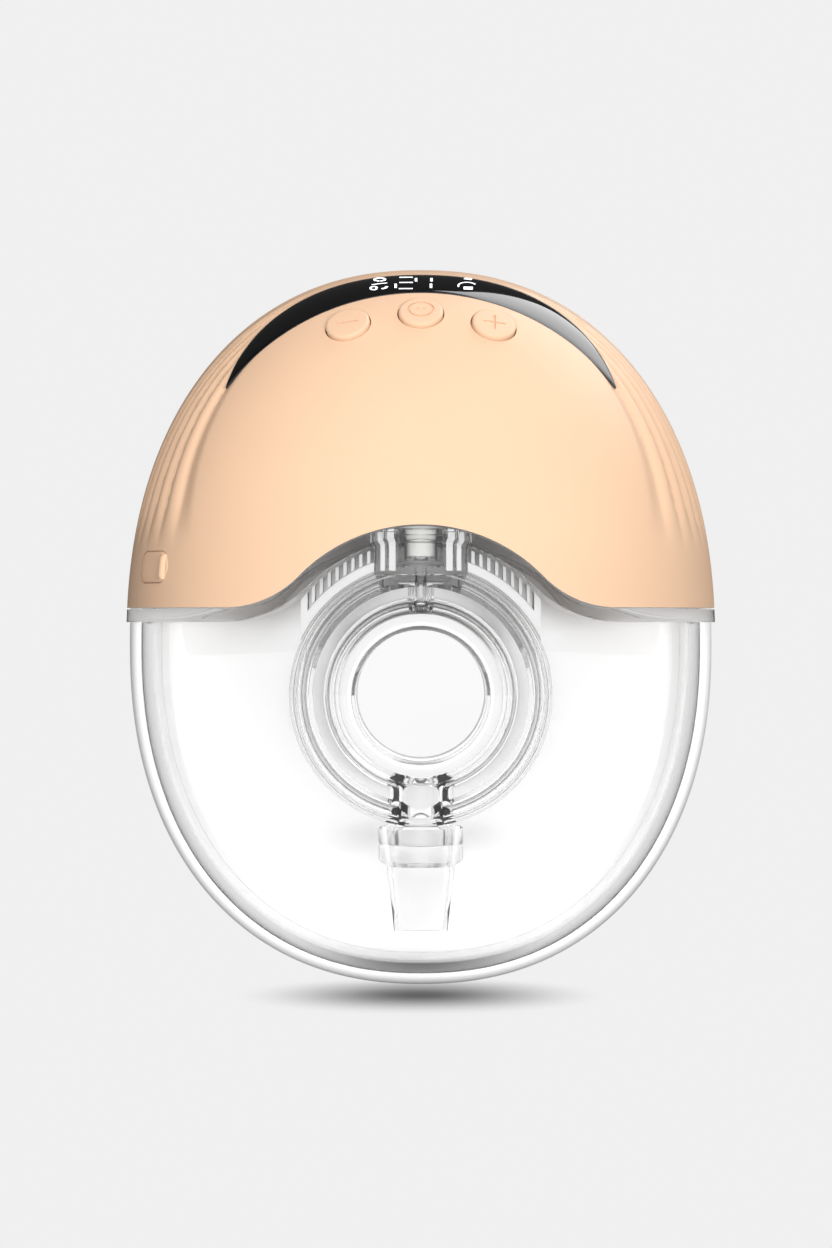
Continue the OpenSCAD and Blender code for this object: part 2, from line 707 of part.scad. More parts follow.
usb_x = -0.893 * half_w;
usb_h = wave_flat + 7.7;
flap_len = 12;
flap_w = 5.8;
flap_t = 1;
flap_sink = 1.7;
usb_w = 8.94;
usb_t = 3.26;
usb_len = 7.4;
barrel_r = 0.7;

// Local frame of the charging port: +X points out of the case, +Y back, +Z up.
module at_usb() {
  n = skin_normal(usb_x, usb_h);
  translate(skin_point(usb_x, usb_h)) rotate([0, 0, atan2(n.y, n.x)]) mirror([0, 1, 0]) children();
}

// Plate with round ends, lying in the local YZ plane from x0 to x1.
module oblong(x0, x1, len, w) translate([x0, 0, 0]) rotate([0, 90, 0])
  linear_extrude(x1 - x0) {
    square([w, len - w], center = true);
    for (m = [-1, 1]) translate([0, m * (len - w) / 2]) circle(w / 2);
  }

module usb_cutout() {
  oblong(-flap_sink, 5, flap_len + 0.6, flap_w + 0.4);
  oblong(-8, 1, usb_w + 0.5, usb_t + 0.5);
  translate([-flap_sink, flap_len / 2 - 1.6, -flap_w / 2 - 0.2]) cube([6, 2.8, flap_w + 0.4]);
}

module usb_cover() color("#f3c89c") at_usb() {
  oblong(-flap_sink + 0.1, -flap_sink + 0.1 + flap_t, flap_len - 1.6, flap_w);
  translate([-flap_sink + 0.8, flap_len / 2 - 0.1, -flap_w / 2 + 0.4])
    cylinder(r = barrel_r, h = flap_w - 0.8);
  translate([-flap_sink + 0.35, flap_len / 2 - 3, -flap_w / 2 + 0.4]) cube([0.9, 3, flap_w - 0.8]);
  translate([-flap_sink + 0.6, -flap_len / 2 + 0.9, -flap_w / 2 + 1]) cube([1.5, 1.1, flap_w - 2]);
}

module usb_socket() color("silver") at_usb() difference() {
  oblong(-2.2 - usb_len, -2.2, usb_w, usb_t);
  difference() {
    oblong(-1.2 - usb_len, 0, usb_w - 0.6, usb_t - 0.6);
    oblong(-2 - usb_len, -3.2, 6.6, 0.7);
  }
}

module charge_board() color("darkgreen") at_usb()
  translate([-12.2, -6, -usb_t / 2 - 1.3]) cube([9.4, 12, 1.2]);

milk_collector();
linker();
suction_diaphragm();
duckbill_valve();
breast_shield();
housing_front();
housing_back();
case_screws();
display_lens();
display_board();
switch_board();
tact_switches();
button_minus();
button_mode();
button_plus();
main_board();
board_chips();
battery();
battery_pad();
motor_can();
motor_magnets();
motor_bush();
motor_rotor();
motor_saddle();
crank();
pump_head();
pump_wobbler();
pump_diaphragm();
pump_cover();
pump_hose();
release_hose();
air_port();
air_port_seal();
release_valve();
release_plunger();
release_spring();
usb_socket();
charge_board();
usb_cover();
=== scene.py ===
import json
import math

import bpy
import bmesh
import numpy as np
from mathutils import Matrix, Vector

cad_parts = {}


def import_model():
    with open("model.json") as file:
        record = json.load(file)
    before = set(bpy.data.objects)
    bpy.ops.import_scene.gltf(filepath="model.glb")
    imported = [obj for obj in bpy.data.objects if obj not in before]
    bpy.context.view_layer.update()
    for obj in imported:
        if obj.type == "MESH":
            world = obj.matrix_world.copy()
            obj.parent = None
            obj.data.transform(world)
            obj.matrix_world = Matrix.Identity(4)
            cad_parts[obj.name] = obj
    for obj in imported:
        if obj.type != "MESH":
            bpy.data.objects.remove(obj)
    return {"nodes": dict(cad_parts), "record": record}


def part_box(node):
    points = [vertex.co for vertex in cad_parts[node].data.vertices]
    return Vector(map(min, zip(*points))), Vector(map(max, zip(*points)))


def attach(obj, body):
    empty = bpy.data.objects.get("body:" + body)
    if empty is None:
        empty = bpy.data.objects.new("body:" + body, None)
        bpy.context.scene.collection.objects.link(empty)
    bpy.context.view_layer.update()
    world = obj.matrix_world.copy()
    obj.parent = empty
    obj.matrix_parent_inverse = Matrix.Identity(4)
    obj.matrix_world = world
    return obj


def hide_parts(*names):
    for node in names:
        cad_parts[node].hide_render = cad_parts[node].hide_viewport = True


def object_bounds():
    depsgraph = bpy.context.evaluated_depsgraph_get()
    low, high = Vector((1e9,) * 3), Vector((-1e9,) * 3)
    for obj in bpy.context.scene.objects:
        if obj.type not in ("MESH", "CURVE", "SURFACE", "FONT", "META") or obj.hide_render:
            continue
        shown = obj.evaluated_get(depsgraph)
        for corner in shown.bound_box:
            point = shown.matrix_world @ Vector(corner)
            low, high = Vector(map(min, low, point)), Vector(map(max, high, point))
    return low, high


# Looks for a wearable breast pump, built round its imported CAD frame.

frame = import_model()
cad_low, cad_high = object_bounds()

# ---------------------------------------------------------------- sizes, in millimetres

MM = 0.001
OUTLINE_POWER = 2.23
WAVE_FLAT = 6.9
WAVE_FILLET = 19.0
PART_GAP = 0.3
CREST_R = 31.0
CASE_WALL = 2.2
FLOOR_T = 2.0
SKIRT = 4.0
CUP_INSET = 2.8
CUP_SINK = 0.5
CUP_WALL = 2.0
SHELF_T = 2.4
DECK_T = 1.6
DECK_GAP = 0.4
BEAD_BEHIND_DECK = 2.1
FAR = 90.0


def box_mm(node):
    """Lowest and highest corner of a CAD node, in millimetres."""
    low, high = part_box(node)
    return np.array(low) / MM, np.array(high) / MM


def mount_mm(name):
    """Place of a mount, in millimetres."""
    mount = next(m for m in frame["record"]["mounts"] if m["name"] == name)
    return np.array(mount["pos_m"]) / MM, mount


HALF_W = (cad_high.x - cad_low.x) / 2 / MM
WIDEST_Z = box_mm("housing_front")[0][2] - WAVE_FLAT - PART_GAP / 2
UPPER_H = cad_high.z / MM - WIDEST_Z
LOWER_H = WIDEST_Z
REAR_Y = box_mm("housing_back")[1][1]
BASE_Y = REAR_Y - SKIRT
DOME_DEPTH = BASE_Y - cad_low.y / MM + CUP_SINK
BACK_Y = cad_high.y / MM
TUNNEL_POS, TUNNEL = mount_mm("tunnel")
TUNNEL_R = TUNNEL["dims"]["r_mm"]
TUNNEL_Z = TUNNEL_POS[2]
TUNNEL_DROP = WIDEST_Z - TUNNEL_Z
DECK_Y = REAR_Y + DECK_GAP
CUP_BACK_Y = box_mm("milk_collector")[1][1]
BEAD_Y = DECK_Y + BEAD_BEHIND_DECK

# ---------------------------------------------------------------- mesh helpers


def link(name, mesh):
    piece = bpy.data.objects.new(name, mesh)
    bpy.context.scene.collection.objects.link(piece)
    return piece


def mesh_piece(name, verts, faces):
    """Closed mesh from points in millimetres, with doubles merged and faces outwards."""
    mesh = bpy.data.meshes.new(name)
    mesh.from_pydata([tuple(MM * c for c in v) for v in verts], [], faces)
    bm = bmesh.new()
    bm.from_mesh(mesh)
    bmesh.ops.remove_doubles(bm, verts=bm.verts, dist=2e-7)
    bmesh.ops.dissolve_degenerate(bm, edges=bm.edges, dist=1e-7)
    bmesh.ops.recalc_face_normals(bm, faces=bm.faces)
    bm.to_mesh(mesh)
    bm.free()
    return link(name, mesh)


def loft(name, rings, tube=False, caps=True):
    """Skin through closed rings of points. A tube joins its last ring to its first."""
    n, m = len(rings[0]), len(rings)
    verts = [tuple(p) for ring in rings for p in ring]
    faces = []
    for k in range(m if tube else m - 1):
        a, b = k * n, (k + 1) % m * n
        faces += [(a + i, a + (i + 1) % n, b + (i + 1) % n, b + i) for i in range(n)]
    if caps and not tube:
        faces += [tuple(range(n - 1, -1, -1)), tuple(range((m - 1) * n, m * n))]
    return mesh_piece(name, verts, faces)


def round_corners(points, radius, steps=4):
    """Closed outline with each corner turned into an arc of the given radius."""
    out = []
    for i, p in enumerate(points):
        a, c = np.array(points[i - 1][:2], float), np.array(points[(i + 1) % len(points)][:2], float)
        b = np.array(p[:2], float)
        r = p[2] if len(p) > 2 else radius
        u, v = a - b, c - b
        lu, lv = np.linalg.norm(u), np.linalg.norm(v)
        u, v = u / lu, v / lv
        cosine = float(np.clip(u @ v, -1, 1))
        half = math.acos(cosine) / 2
        if r <= 0 or half > 1.5:
            out.append(tuple(b))
            continue
        t = min(r / math.tan(half), 0.45 * lu, 0.45 * lv)
        r = t * math.tan(half)
        centre = b + (u + v) / np.linalg.norm(u + v) * (r / math.sin(half))
        s, e = b + u * t - centre, b + v * t - centre
        a0, a1 = math.atan2(s[1], s[0]), math.atan2(e[1], e[0])
        turn = (a1 - a0 + math.pi) % (2 * math.pi) - math.pi
        angles = [a0 + turn * k / steps for k in range(steps + 1)]
        out += [tuple(centre + r * np.array([math.cos(a), math.sin(a)])) for a in angles]
    return out


def lathe(name, profile, place, steps=96):
    """Turns a closed [radius, height] outline about +Z, then moves it with place, a 4x4 matrix."""
    rings = []
    for i in range(steps):
        c, s = math.cos(2 * math.pi * i / steps), math.sin(2 * math.pi * i / steps)
        rings.append([place @ Vector((max(r, 0) * c, max(r, 0) * s, z)) for r, z in profile])
    return loft(name, rings, tube=True)


def disc(name, r, low, high, place, steps=96, inner=0.0):
    """Plain round bar, or a ring where it has an inner radius."""
    return lathe(name, [(inner, low), (r, low), (r, high), (inner, high)], place, steps)


def box_solid(name, low, high, place=Matrix.Identity(4)):
    """Plain block, for cutting and joining."""
    corners = [place @ Vector((x, y, z)) for z in (low[2], high[2]) for x, y in
               ((low[0], low[1]), (high[0], low[1]), (high[0], high[1]), (low[0], high[1]))]
    return loft(name, [corners[:4], corners[4:]])


def prism(name, outline, y0, y1):
    """Solid between two upright planes, from an outline drawn about the widest line."""
    return loft(name, [[(x, y, WIDEST_Z + h) for x, h in outline] for y in (y0, y1)])


def settle(piece):
    """Turns a piece and its modifiers into one plain mesh."""
    graph = bpy.context.evaluated_depsgraph_get()
    mesh = bpy.data.meshes.new_from_object(piece.evaluated_get(graph))
    piece.modifiers.clear()
    piece.data = mesh
    return piece


def combine(piece, *others, how="DIFFERENCE"):
    """Cuts, joins or crosses a piece with others, which are used up."""
    for other in others:
        step = piece.modifiers.new("step", "BOOLEAN")
        step.solver = "MANIFOLD"
        step.operation = how
        step.object = other
        settle(piece)
        bpy.data.objects.remove(other)
    return piece


def smooth(piece, angle=32):
    """Smooth shading with the edges sharper than angle kept crisp."""
    piece.data.shade_smooth()
    piece.data.set_sharp_from_angle(angle=math.radians(angle))
    return piece


def turned_to(direction, at):
    """Matrix that stands +Z along a direction at a place."""
    return Matrix.Translation(Vector(at)) @ Vector(direction).to_track_quat("Z", "Y").to_matrix().to_4x4()


ALONG_Y = Matrix.Translation(Vector((0, 0, TUNNEL_Z))) @ Matrix.Rotation(math.radians(-90), 4, "X")


def upright_z(x, y, h=0.0):
    return Matrix.Translation(Vector((x, y, WIDEST_Z + h)))


# ---------------------------------------------------------------- the pump's outline


def squared(v):
    """Signed power that squares off a circle."""
    return math.copysign(abs(v) ** (2 / OUTLINE_POWER), v)


def outline(inset=0.0, steps=224):
    """Points round the front view, drawn in by an inset, about the widest line."""
    points = []
    for i in range(steps):
        t = 2 * math.pi * i / steps
        height = UPPER_H if math.sin(t) > 0 else LOWER_H
        points.append(((HALF_W - inset) * squared(math.cos(t)), (height - inset) * squared(math.sin(t))))
    return points


def swell(x, h):
    """Share of the dome's depth at a place on its front."""
    height = UPPER_H if h > 0 else LOWER_H
    left = 1 - abs(x / HALF_W) ** OUTLINE_POWER - abs(h / height) ** OUTLINE_POWER
    return math.sqrt(max(left, 0))


def skin_point(x, h, lift=0.0):
    """Place on the dome's skin, moved out along its normal by lift."""
    n = skin_normal(x, h)
    return Vector((x, BASE_Y - DOME_DEPTH * swell(x, h), WIDEST_Z + h)) + n * lift


def skin_normal(x, h):
    p = OUTLINE_POWER
    height = UPPER_H if h > 0 else LOWER_H
    return Vector((math.copysign(p * abs(x / HALF_W) ** (p - 1) / HALF_W, x), -2 * swell(x, h) / DOME_DEPTH,
                   math.copysign(p * abs(h / height) ** (p - 1) / height, h))).normalized()


def dome(name, inset, back, sink=None, steps=224, rings=72, relief=None):
    """Domed solid with a straight skirt back to y = back."""
    depth = DOME_DEPTH - (inset if sink is None else sink)
    flat = outline(inset, steps)
    loops = [[(x, back, WIDEST_Z + h) for x, h in flat]]
    for k in range(rings):
        t = math.pi / 2 * k / rings
        s, y = math.cos(t) ** (2 / OUTLINE_POWER), BASE_Y - depth * math.sin(t)
        loop = []
        for x, h in flat:
            p = Vector((s * x, y, WIDEST_Z + s * h))
            if relief:
                p = p - skin_normal(s * x, s * h) * relief(s * x, s * h, math.sin(t))
            loop.append(p)
        loops.append(loop)
    loops.append([(0, BASE_Y - depth, WIDEST_Z)] * steps)
    return loft(name, loops)


def wave_line(drop):
    """The parting line from left to right, lowered by drop."""
    r, f, h = CREST_R - drop, WAVE_FILLET + drop, WAVE_FLAT - drop
    sweep_x = math.sqrt((CREST_R + WAVE_FILLET) ** 2 - (WAVE_FLAT + TUNNEL_DROP + WAVE_FILLET) ** 2)
    meet = math.atan2(WAVE_FLAT + WAVE_FILLET + TUNNEL_DROP, sweep_x)
    right = [(FAR, h)]
    for k in range(25):
        a = -math.pi / 2 - (math.pi / 2 - meet) * k / 24
        right.append((sweep_x + f * math.cos(a), h + f + f * math.sin(a)))
    for k in range(1, 33):
        a = meet + (math.pi / 2 - meet) * k / 32
        right.append((r * math.cos(a), r * math.sin(a) - TUNNEL_DROP))
    left = [(-x, y) for x, y in right[:-1]]
    return left + right[::-1]


def below_wave(name, drop, y0=-FAR, y1=FAR):
    return prism(name, [(-FAR, -FAR)] + wave_line(drop) + [(FAR, -FAR)], y0, y1)


def above_wave(name, drop, y0=-FAR, y1=FAR):
    return prism(name, [(-FAR, 2 * FAR)] + wave_line(drop) + [(FAR, 2 * FAR)], y0, y1)


def finish_piece(piece, body, slot, material, *nodes, angle=32, shade=True):
    """Shades a piece, gives it its material, ties it to its body and hides the CAD nodes it stands for."""
    if shade:
        smooth(piece, angle)
    piece.data.materials.clear()
    piece.data.materials.append(material)
    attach(piece, body)
    if nodes:
        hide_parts(*nodes)
    return piece


# ---------------------------------------------------------------- shared material groups


def new_group(name, inputs, outputs):
    group = bpy.data.node_groups.new(name, "ShaderNodeTree")
    for label, kind, value in inputs:
        socket = group.interface.new_socket(label, in_out="INPUT", socket_type=kind)
        socket.default_value = value
    for label, kind in outputs:
        group.interface.new_socket(label, in_out="OUTPUT", socket_type=kind)
    return group, group.nodes.new("NodeGroupInput"), group.nodes.new("NodeGroupOutput")


def math_node(tree, operation, a, b=None):
    node = tree.nodes.new("ShaderNodeMath")
    node.operation = operation
    for socket, value in zip(node.inputs, (a, b)):
        if value is None:
            continue
        if isinstance(value, (int, float)):
            socket.default_value = value
        else:
            tree.links.new(value, socket)
    return node.outputs[0]


def ramp(tree, source, low, high, to_low, to_high):
    node = tree.nodes.new("ShaderNodeMapRange")
    tree.links.new(source, node.inputs["Value"])
    for label, value in (("From Min", low), ("From Max", high), ("To Min", to_low), ("To Max", to_high)):
        if isinstance(value, (int, float)):
            node.inputs[label].default_value = value
        else:
            tree.links.new(value, node.inputs[label])
    return node.outputs[0]


def noise(tree, coordinates, scale, detail=3.0, roughness=0.5):
    node = tree.nodes.new("ShaderNodeTexNoise")
    if isinstance(scale, (int, float)):
        node.inputs["Scale"].default_value = scale
    else:
        tree.links.new(scale, node.inputs["Scale"])
    node.inputs["Detail"].default_value = detail
    node.inputs["Roughness"].default_value = roughness
    tree.links.new(coordinates, node.inputs["Vector"])
    return node.outputs["Fac"]


def moulded_group():
    """Surface of a moulded piece: fine grain, cloudy tone and faint handling marks."""
    group, start, end = new_group("moulded_surface", [
        ("Colour", "NodeSocketColor", (0.8, 0.8, 0.8, 1)), ("Shade", "NodeSocketFloat", 0.92),
        ("Roughness", "NodeSocketFloat", 0.4), ("Spread", "NodeSocketFloat", 0.08),
        ("Grain", "NodeSocketFloat", 2500.0), ("Relief", "NodeSocketFloat", 0.5)],
        [("Colour", "NodeSocketColor"), ("Roughness", "NodeSocketFloat"), ("Height", "NodeSocketFloat")])
    place = group.nodes.new("ShaderNodeTexCoord").outputs["Object"]
    fine = noise(group, place, start.outputs["Grain"], 2.0, 0.6)
    cloud = noise(group, place, 38.0, 3.0, 0.55)
    marks = noise(group, place, 210.0, 4.0, 0.62)
    tone = ramp(group, cloud, 0.3, 0.7, start.outputs["Shade"], 1.0)
    mix = group.nodes.new("ShaderNodeVectorMath")
    mix.operation = "SCALE"
    group.links.new(start.outputs["Colour"], mix.inputs[0])
    group.links.new(tone, mix.inputs["Scale"])
    group.links.new(mix.outputs[0], end.inputs["Colour"])
    worn = ramp(group, marks, 0.35, 0.7, -0.5, 0.5)
    spread = math_node(group, "MULTIPLY", worn, start.outputs["Spread"])
    group.links.new(math_node(group, "ADD", start.outputs["Roughness"], spread), end.inputs["Roughness"])
    group.links.new(math_node(group, "MULTIPLY", fine, start.outputs["Relief"]), end.inputs["Height"])
    return group


MOULDED = moulded_group()


def material(name, colour, roughness, spread=0.08, shade=0.93, grain=2500.0, relief=0.5, bump=0.02,
             **plain):
    """Principled material with the moulded surface's colour, roughness and grain."""
    made = bpy.data.materials.new(name)
    made.use_nodes = True
    tree = made.node_tree
    shader = tree.nodes["Principled BSDF"]
    surface = tree.nodes.new("ShaderNodeGroup")
    surface.node_tree = MOULDED
    surface.inputs["Colour"].default_value = (*colour, 1)
    surface.inputs["Shade"].default_value = shade
    surface.inputs["Roughness"].default_value = roughness
    surface.inputs["Spread"].default_value = spread
    surface.inputs["Grain"].default_value = grain
    surface.inputs["Relief"].default_value = relief
    tree.links.new(surface.outputs["Colour"], shader.inputs["Base Color"])
    tree.links.new(surface.outputs["Roughness"], shader.inputs["Roughness"])
    if bump:
        node = tree.nodes.new("ShaderNodeBump")
        node.inputs["Strength"].default_value = 0.35
        node.inputs["Distance"].default_value = bump * MM
        tree.links.new(surface.outputs["Height"], node.inputs["Height"])
        tree.links.new(node.outputs["Normal"], shader.inputs["Normal"])
    for label, value in plain.items():
        shader.inputs[label.replace("_", " ")].default_value = value
    return made


def srgb(r, g, b):
    """Linear colour from 0 to 255 display values."""
    return tuple(((c / 255 + 0.055) / 1.055) ** 2.4 if c > 10 else c / 3294.6 for c in (r, g, b))


def clear_material(name, roughness, ior):
    """Clear plastic that lets soft light through to what lies behind it."""
    made = material(name, (1.0, 1.0, 1.0), roughness, 0.01, 0.99, 400.0, 0.2, 0.001, IOR=ior)
    tree = made.node_tree
    shader = tree.nodes["Principled BSDF"]
    shader.inputs["Transmission Weight"].default_value = 1.0
    path = tree.nodes.new("ShaderNodeLightPath")
    passing = tree.nodes.new("ShaderNodeBsdfTransparent")
    passing.inputs["Color"].default_value = (1, 1, 1, 1)
    mix = tree.nodes.new("ShaderNodeMixShader")
    soft = math_node(tree, "MAXIMUM", path.outputs["Is Shadow Ray"], path.outputs["Is Diffuse Ray"])
    tree.links.new(soft, mix.inputs[0])
    tree.links.new(shader.outputs[0], mix.inputs[1])
    tree.links.new(passing.outputs[0], mix.inputs[2])
    tree.links.new(mix.outputs[0], tree.nodes["Material Output"].inputs["Surface"])
    return made


CASE = material("soft_touch_case", srgb(232, 194, 162), 0.46, 0.06, 0.965, 3200.0, 0.6, 0.02,
                Specular_IOR_Level=0.4)
FLAP = material("case_silicone", srgb(231, 192, 160), 0.5, 0.06, 0.96, 1800.0, 0.6, 0.02,
                Specular_IOR_Level=0.35)
CLEAR = clear_material("clear_cup", 0.008, 1.52)
LINK = clear_material("clear_linker", 0.012, 1.5)
SILICONE = clear_material("milky_silicone", 0.1, 1.41)
SHIELD = material("shield_silicone", (0.99, 0.99, 0.99), 0.35, 0.08, 0.985, 900.0, 0.5, 0.015, IOR=1.41,
                  Transmission_Weight=0.04)
LENS = material("smoked_lens", (0.004, 0.004, 0.0045), 0.05, 0.02, 0.9, 600.0, 0.2, 0.002, IOR=1.5)
DARK = material("dark_nylon", (0.03, 0.03, 0.034), 0.5, 0.1, 0.85)
WHITE = material("white_acetal", (0.78, 0.78, 0.75), 0.42, 0.08, 0.94)
# Painted shade: neutral grey on the case's underside along the parting line, standing in for the shade seen
# through the clear shelf and greying the light bounced into the cup.
SHADE_GREY_UNDERSIDE = material("painted_shade_underside", (0.62, 0.62, 0.61), 0.4, 0.08, 0.94)
FROST = material("frosted_ribs", (0.98, 0.98, 0.98), 0.32, 0.08, 0.97, 900.0, 0.5, 0.01, IOR=1.5,
                 Transmission_Weight=0.25)
RUBBER = material("black_rubber", (0.018, 0.018, 0.018), 0.6, 0.1, 0.8, 1500.0, 0.8, 0.03)
FOAM = material("dark_foam", (0.03, 0.03, 0.034), 0.85, 0.08, 0.7, 3000.0, 1.0, 0.12)
BOARD = material("green_board", (0.012, 0.11, 0.045), 0.32, 0.12, 0.8, 1400.0, 0.6, 0.02)
FLEX = material("amber_flex", (0.48, 0.22, 0.03), 0.3, 0.1, 0.85)
CHIP = material("chip_epoxy", (0.012, 0.012, 0.013), 0.45, 0.1, 0.8)
STEEL = material("plated_steel", (0.62, 0.63, 0.65), 0.26, 0.14, 0.88, 900.0, 0.5, 0.01, Metallic=1.0)
FOIL = material("cell_foil", (0.72, 0.73, 0.75), 0.38, 0.16, 0.9, 240.0, 0.9, 0.12, Metallic=1.0)
FERRITE = material("ferrite", (0.06, 0.06, 0.065), 0.55, 0.12, 0.8)
BRONZE = material("sintered_bronze", (0.62, 0.4, 0.17), 0.42, 0.14, 0.85, 1600.0, 0.9, 0.03, Metallic=1.0)
COPPER = material("copper_winding", (0.7, 0.3, 0.13), 0.35, 0.12, 0.8, 700.0, 0.8, 0.05, Metallic=1.0)


def glow_material():
    made = bpy.data.materials.new("lit_symbol")
    made.use_nodes = True
    tree = made.node_tree
    shader = tree.nodes["Principled BSDF"]
    shader.inputs["Base Color"].default_value = (0.9, 0.95, 1.0, 1)
    place = tree.nodes.new("ShaderNodeTexCoord").outputs["Object"]
    uneven = ramp(tree, noise(tree, place, 900.0), 0.3, 0.7, 0.82, 1.0)
    tint = tree.nodes.new("ShaderNodeVectorMath")
    tint.operation = "SCALE"
    tint.inputs[0].default_value = (0.92, 0.97, 1.0)
    tree.links.new(uneven, tint.inputs["Scale"])
    tree.links.new(tint.outputs[0], shader.inputs["Emission Color"])
    shader.inputs["Emission Strength"].default_value = 1.15
    return made


GLOW = glow_material()

# ---------------------------------------------------------------- suction unit case

BUTTON_D = 8.3
BUTTON_GAP = 0.22
BUTTON_H = UPPER_H - 9.8
BUTTON_PITCH = 13.5
BUTTON_FALL = 2.2
BUTTON_PLACES = {"button_minus": (-BUTTON_PITCH, BUTTON_H - BUTTON_FALL), "button_mode": (0.0, BUTTON_H),
                 "button_plus": (BUTTON_PITCH, BUTTON_H - BUTTON_FALL)}
AIR_HOLE_R = 4.15
FLUTE_DEPTH = 0.9
AIR_Y = float(np.mean([c[1] for c in box_mm("air_port")]))


def step_up(v, low, high):
    """Smooth step from 0 at low to 1 at high."""
    t = min(max((v - low) / (high - low), 0), 1)
    return t * t * (3 - 2 * t)


def flutes(x, h, level):
    """Depth of the fanned flutes on the case's sides, where level is the sine of the ring's angle."""
    if h <= 0:
        return 0.0
    spacing = 0.13 - 0.00145 * h
    u = (level - 0.25) / spacing
    if u < -1.6 or u > 3.9:
        return 0.0
    if u > 3:
        depth = 1 - step_up(u, 3, 3.9)
    elif u < -1:
        depth = 1 - step_up(-u, 1, 1.6)
    else:
        depth = 1 - abs(math.sin(math.pi * u)) ** 0.8
    fade = step_up(h, 17, 29) * step_up(abs(x), 15, 27) * (1 - 0.25 * step_up(h, 40, 66))
    return FLUTE_DEPTH * depth * fade


def on_wave(place):
    """Whether a place, in metres, lies on the case's underside."""
    x, h = place.x / MM, place.z / MM - WIDEST_Z
    line = wave_line(-PART_GAP / 2)
    return abs(h - float(np.interp(x, [p[0] for p in line], [p[1] for p in line]))) < 0.4


def case_front():
    """Apricot shell: a fluted dome over the parting line, open at the back."""
    shell = dome("case_front", 0.0, REAR_Y, relief=flutes, steps=288, rings=150)
    combine(shell, above_wave("cut", -PART_GAP / 2), how="INTERSECT")
    hollow = dome("hollow", CASE_WALL + 0.3, REAR_Y + 5, steps=128, rings=40)
    combine(hollow, above_wave("cut", -FLOOR_T), how="INTERSECT")
    combine(shell, hollow)
    for x, h in BUTTON_PLACES.values():
        place = turned_to(skin_normal(x, h), skin_point(x, h))
        combine(shell, disc("well", BUTTON_D / 2 + BUTTON_GAP, -4, 3, place))
    combine(shell, port_recess())
    crest = CREST_R - TUNNEL_DROP
    combine(shell, disc("hole", AIR_HOLE_R, -2, 5, upright_z(0, AIR_Y, crest)))
    finish_piece(shell, "suction_unit", "peach_case", CASE, "housing_front", angle=30)
    # Painted shade: downward faces on the parting line take the grey underside material.
    shell.data.materials.append(SHADE_GREY_UNDERSIDE)
    for face in shell.data.polygons:
        if face.normal.z < -0.5 and face.center.z < (WIDEST_Z + CREST_R) * MM and on_wave(face.center):
            face.material_index = 1


LENS_TOP = UPPER_H - 1.7
LENS_BAND = 3.7
LENS_DROP = 21.5
LENS_REACH = 0.648 * HALF_W


def crescent_rows(grow, across):
    """Rows of (x, h) points over the display's crescent, from its lower to its upper edge."""
    top, band, reach = LENS_TOP, LENS_BAND, LENS_REACH
    tip = top - LENS_DROP
    sag = top - band - tip
    arc_r = (reach ** 2 + sag ** 2) / (2 * sag)
    arch_w, arch_h = reach * 1.033 + grow, (top - tip) / 0.681
    power = OUTLINE_POWER
    columns = []
    for k in range(121):
        x = reach * math.sin(math.pi / 2 * (k / 60 - 1))
        low = top - band - arc_r + math.sqrt(max((arc_r - grow) ** 2 - x * x, 0))
        high = top - arch_h + (arch_h + grow) * max(1 - abs(x / arch_w) ** power, 0) ** (1 / power)
        columns.append([(x, low + max(high - low, 0) * j / across) for j in range(across + 1)])
    return columns


def skin_patch(name, columns, lift, thick, edge):
    """Thin closed patch that follows the dome's skin, with a rounded edge."""
    rings = []
    for column in columns:
        outer = []
        last = len(column) - 1
        for j, (x, h) in enumerate(column):
            near = min(j, last - j) / last
            drop = edge * (1 - min(near * last / 2, 1)) ** 2
            outer.append(skin_point(x, h, lift - drop))
        inner = [skin_point(x, h, lift - thick) for x, h in reversed(column)]
        rings.append(outer + inner)
    return loft(name, rings)


def display():
    lens = skin_patch("display_lens", crescent_rows(0.0, 14), 0.07, 0.5, 0.06)
    finish_piece(lens, "suction_unit", "black_lens", LENS, "display_lens", angle=40)
    seam = skin_patch("lens_seam", crescent_rows(0.16, 6), 0.02, 0.3, 0.0)
    finish_piece(seam, "suction_unit", "dark_plastic", DARK, angle=40)


def stroke(points, width, lift=0.1, close=False):
    """Flat mark on the skin along (x, along-skin) points, as rings of four corners."""
    line = [np.array(p, float) for p in points]
    if close:
        line.append(line[0])
    rings = []
    for i, p in enumerate(line):
        a, b = line[max(i - 1, 0)], line[min(i + 1, len(line) - 1)]
        if close and i in (0, len(line) - 1):
            a, b = line[-2], line[1]
        d = (b - a) / np.linalg.norm(b - a)
        n = np.array([-d[1], d[0]]) * width / 2
        rings.append([display_point(*(p + n), lift), display_point(*(p - n), lift),
                      display_point(*(p - n), lift - 0.05), display_point(*(p + n), lift - 0.05)])
    return rings


def display_point(x, along, lift):
    """Place on the lens, where along runs up the slope from the display's middle."""
    middle, slope = LENS_TOP - 1.75, 0.37
    return skin_point(x, middle + along * slope, lift)


def digit_marks():
    """Seven-segment bars: a two and a one."""
    half, bar = 3.4, 0.45
    level = [[(-4.0, half), (-1.5, half)], [(-4.0, 0.2), (-1.5, 0.2)], [(-4.1, -half), (-1.5, -half)]]
    two = [[(-0.9, half - 0.6), (-0.9, 0.9)], [(-4.7, -0.6), (-4.7, -half + 0.5)]]
    one = [[(2.0, half - 0.6), (2.0, 0.9)], [(1.9, -0.6), (1.9, -half + 0.5)]]
    return [stroke(line, bar) for line in level + two + one]


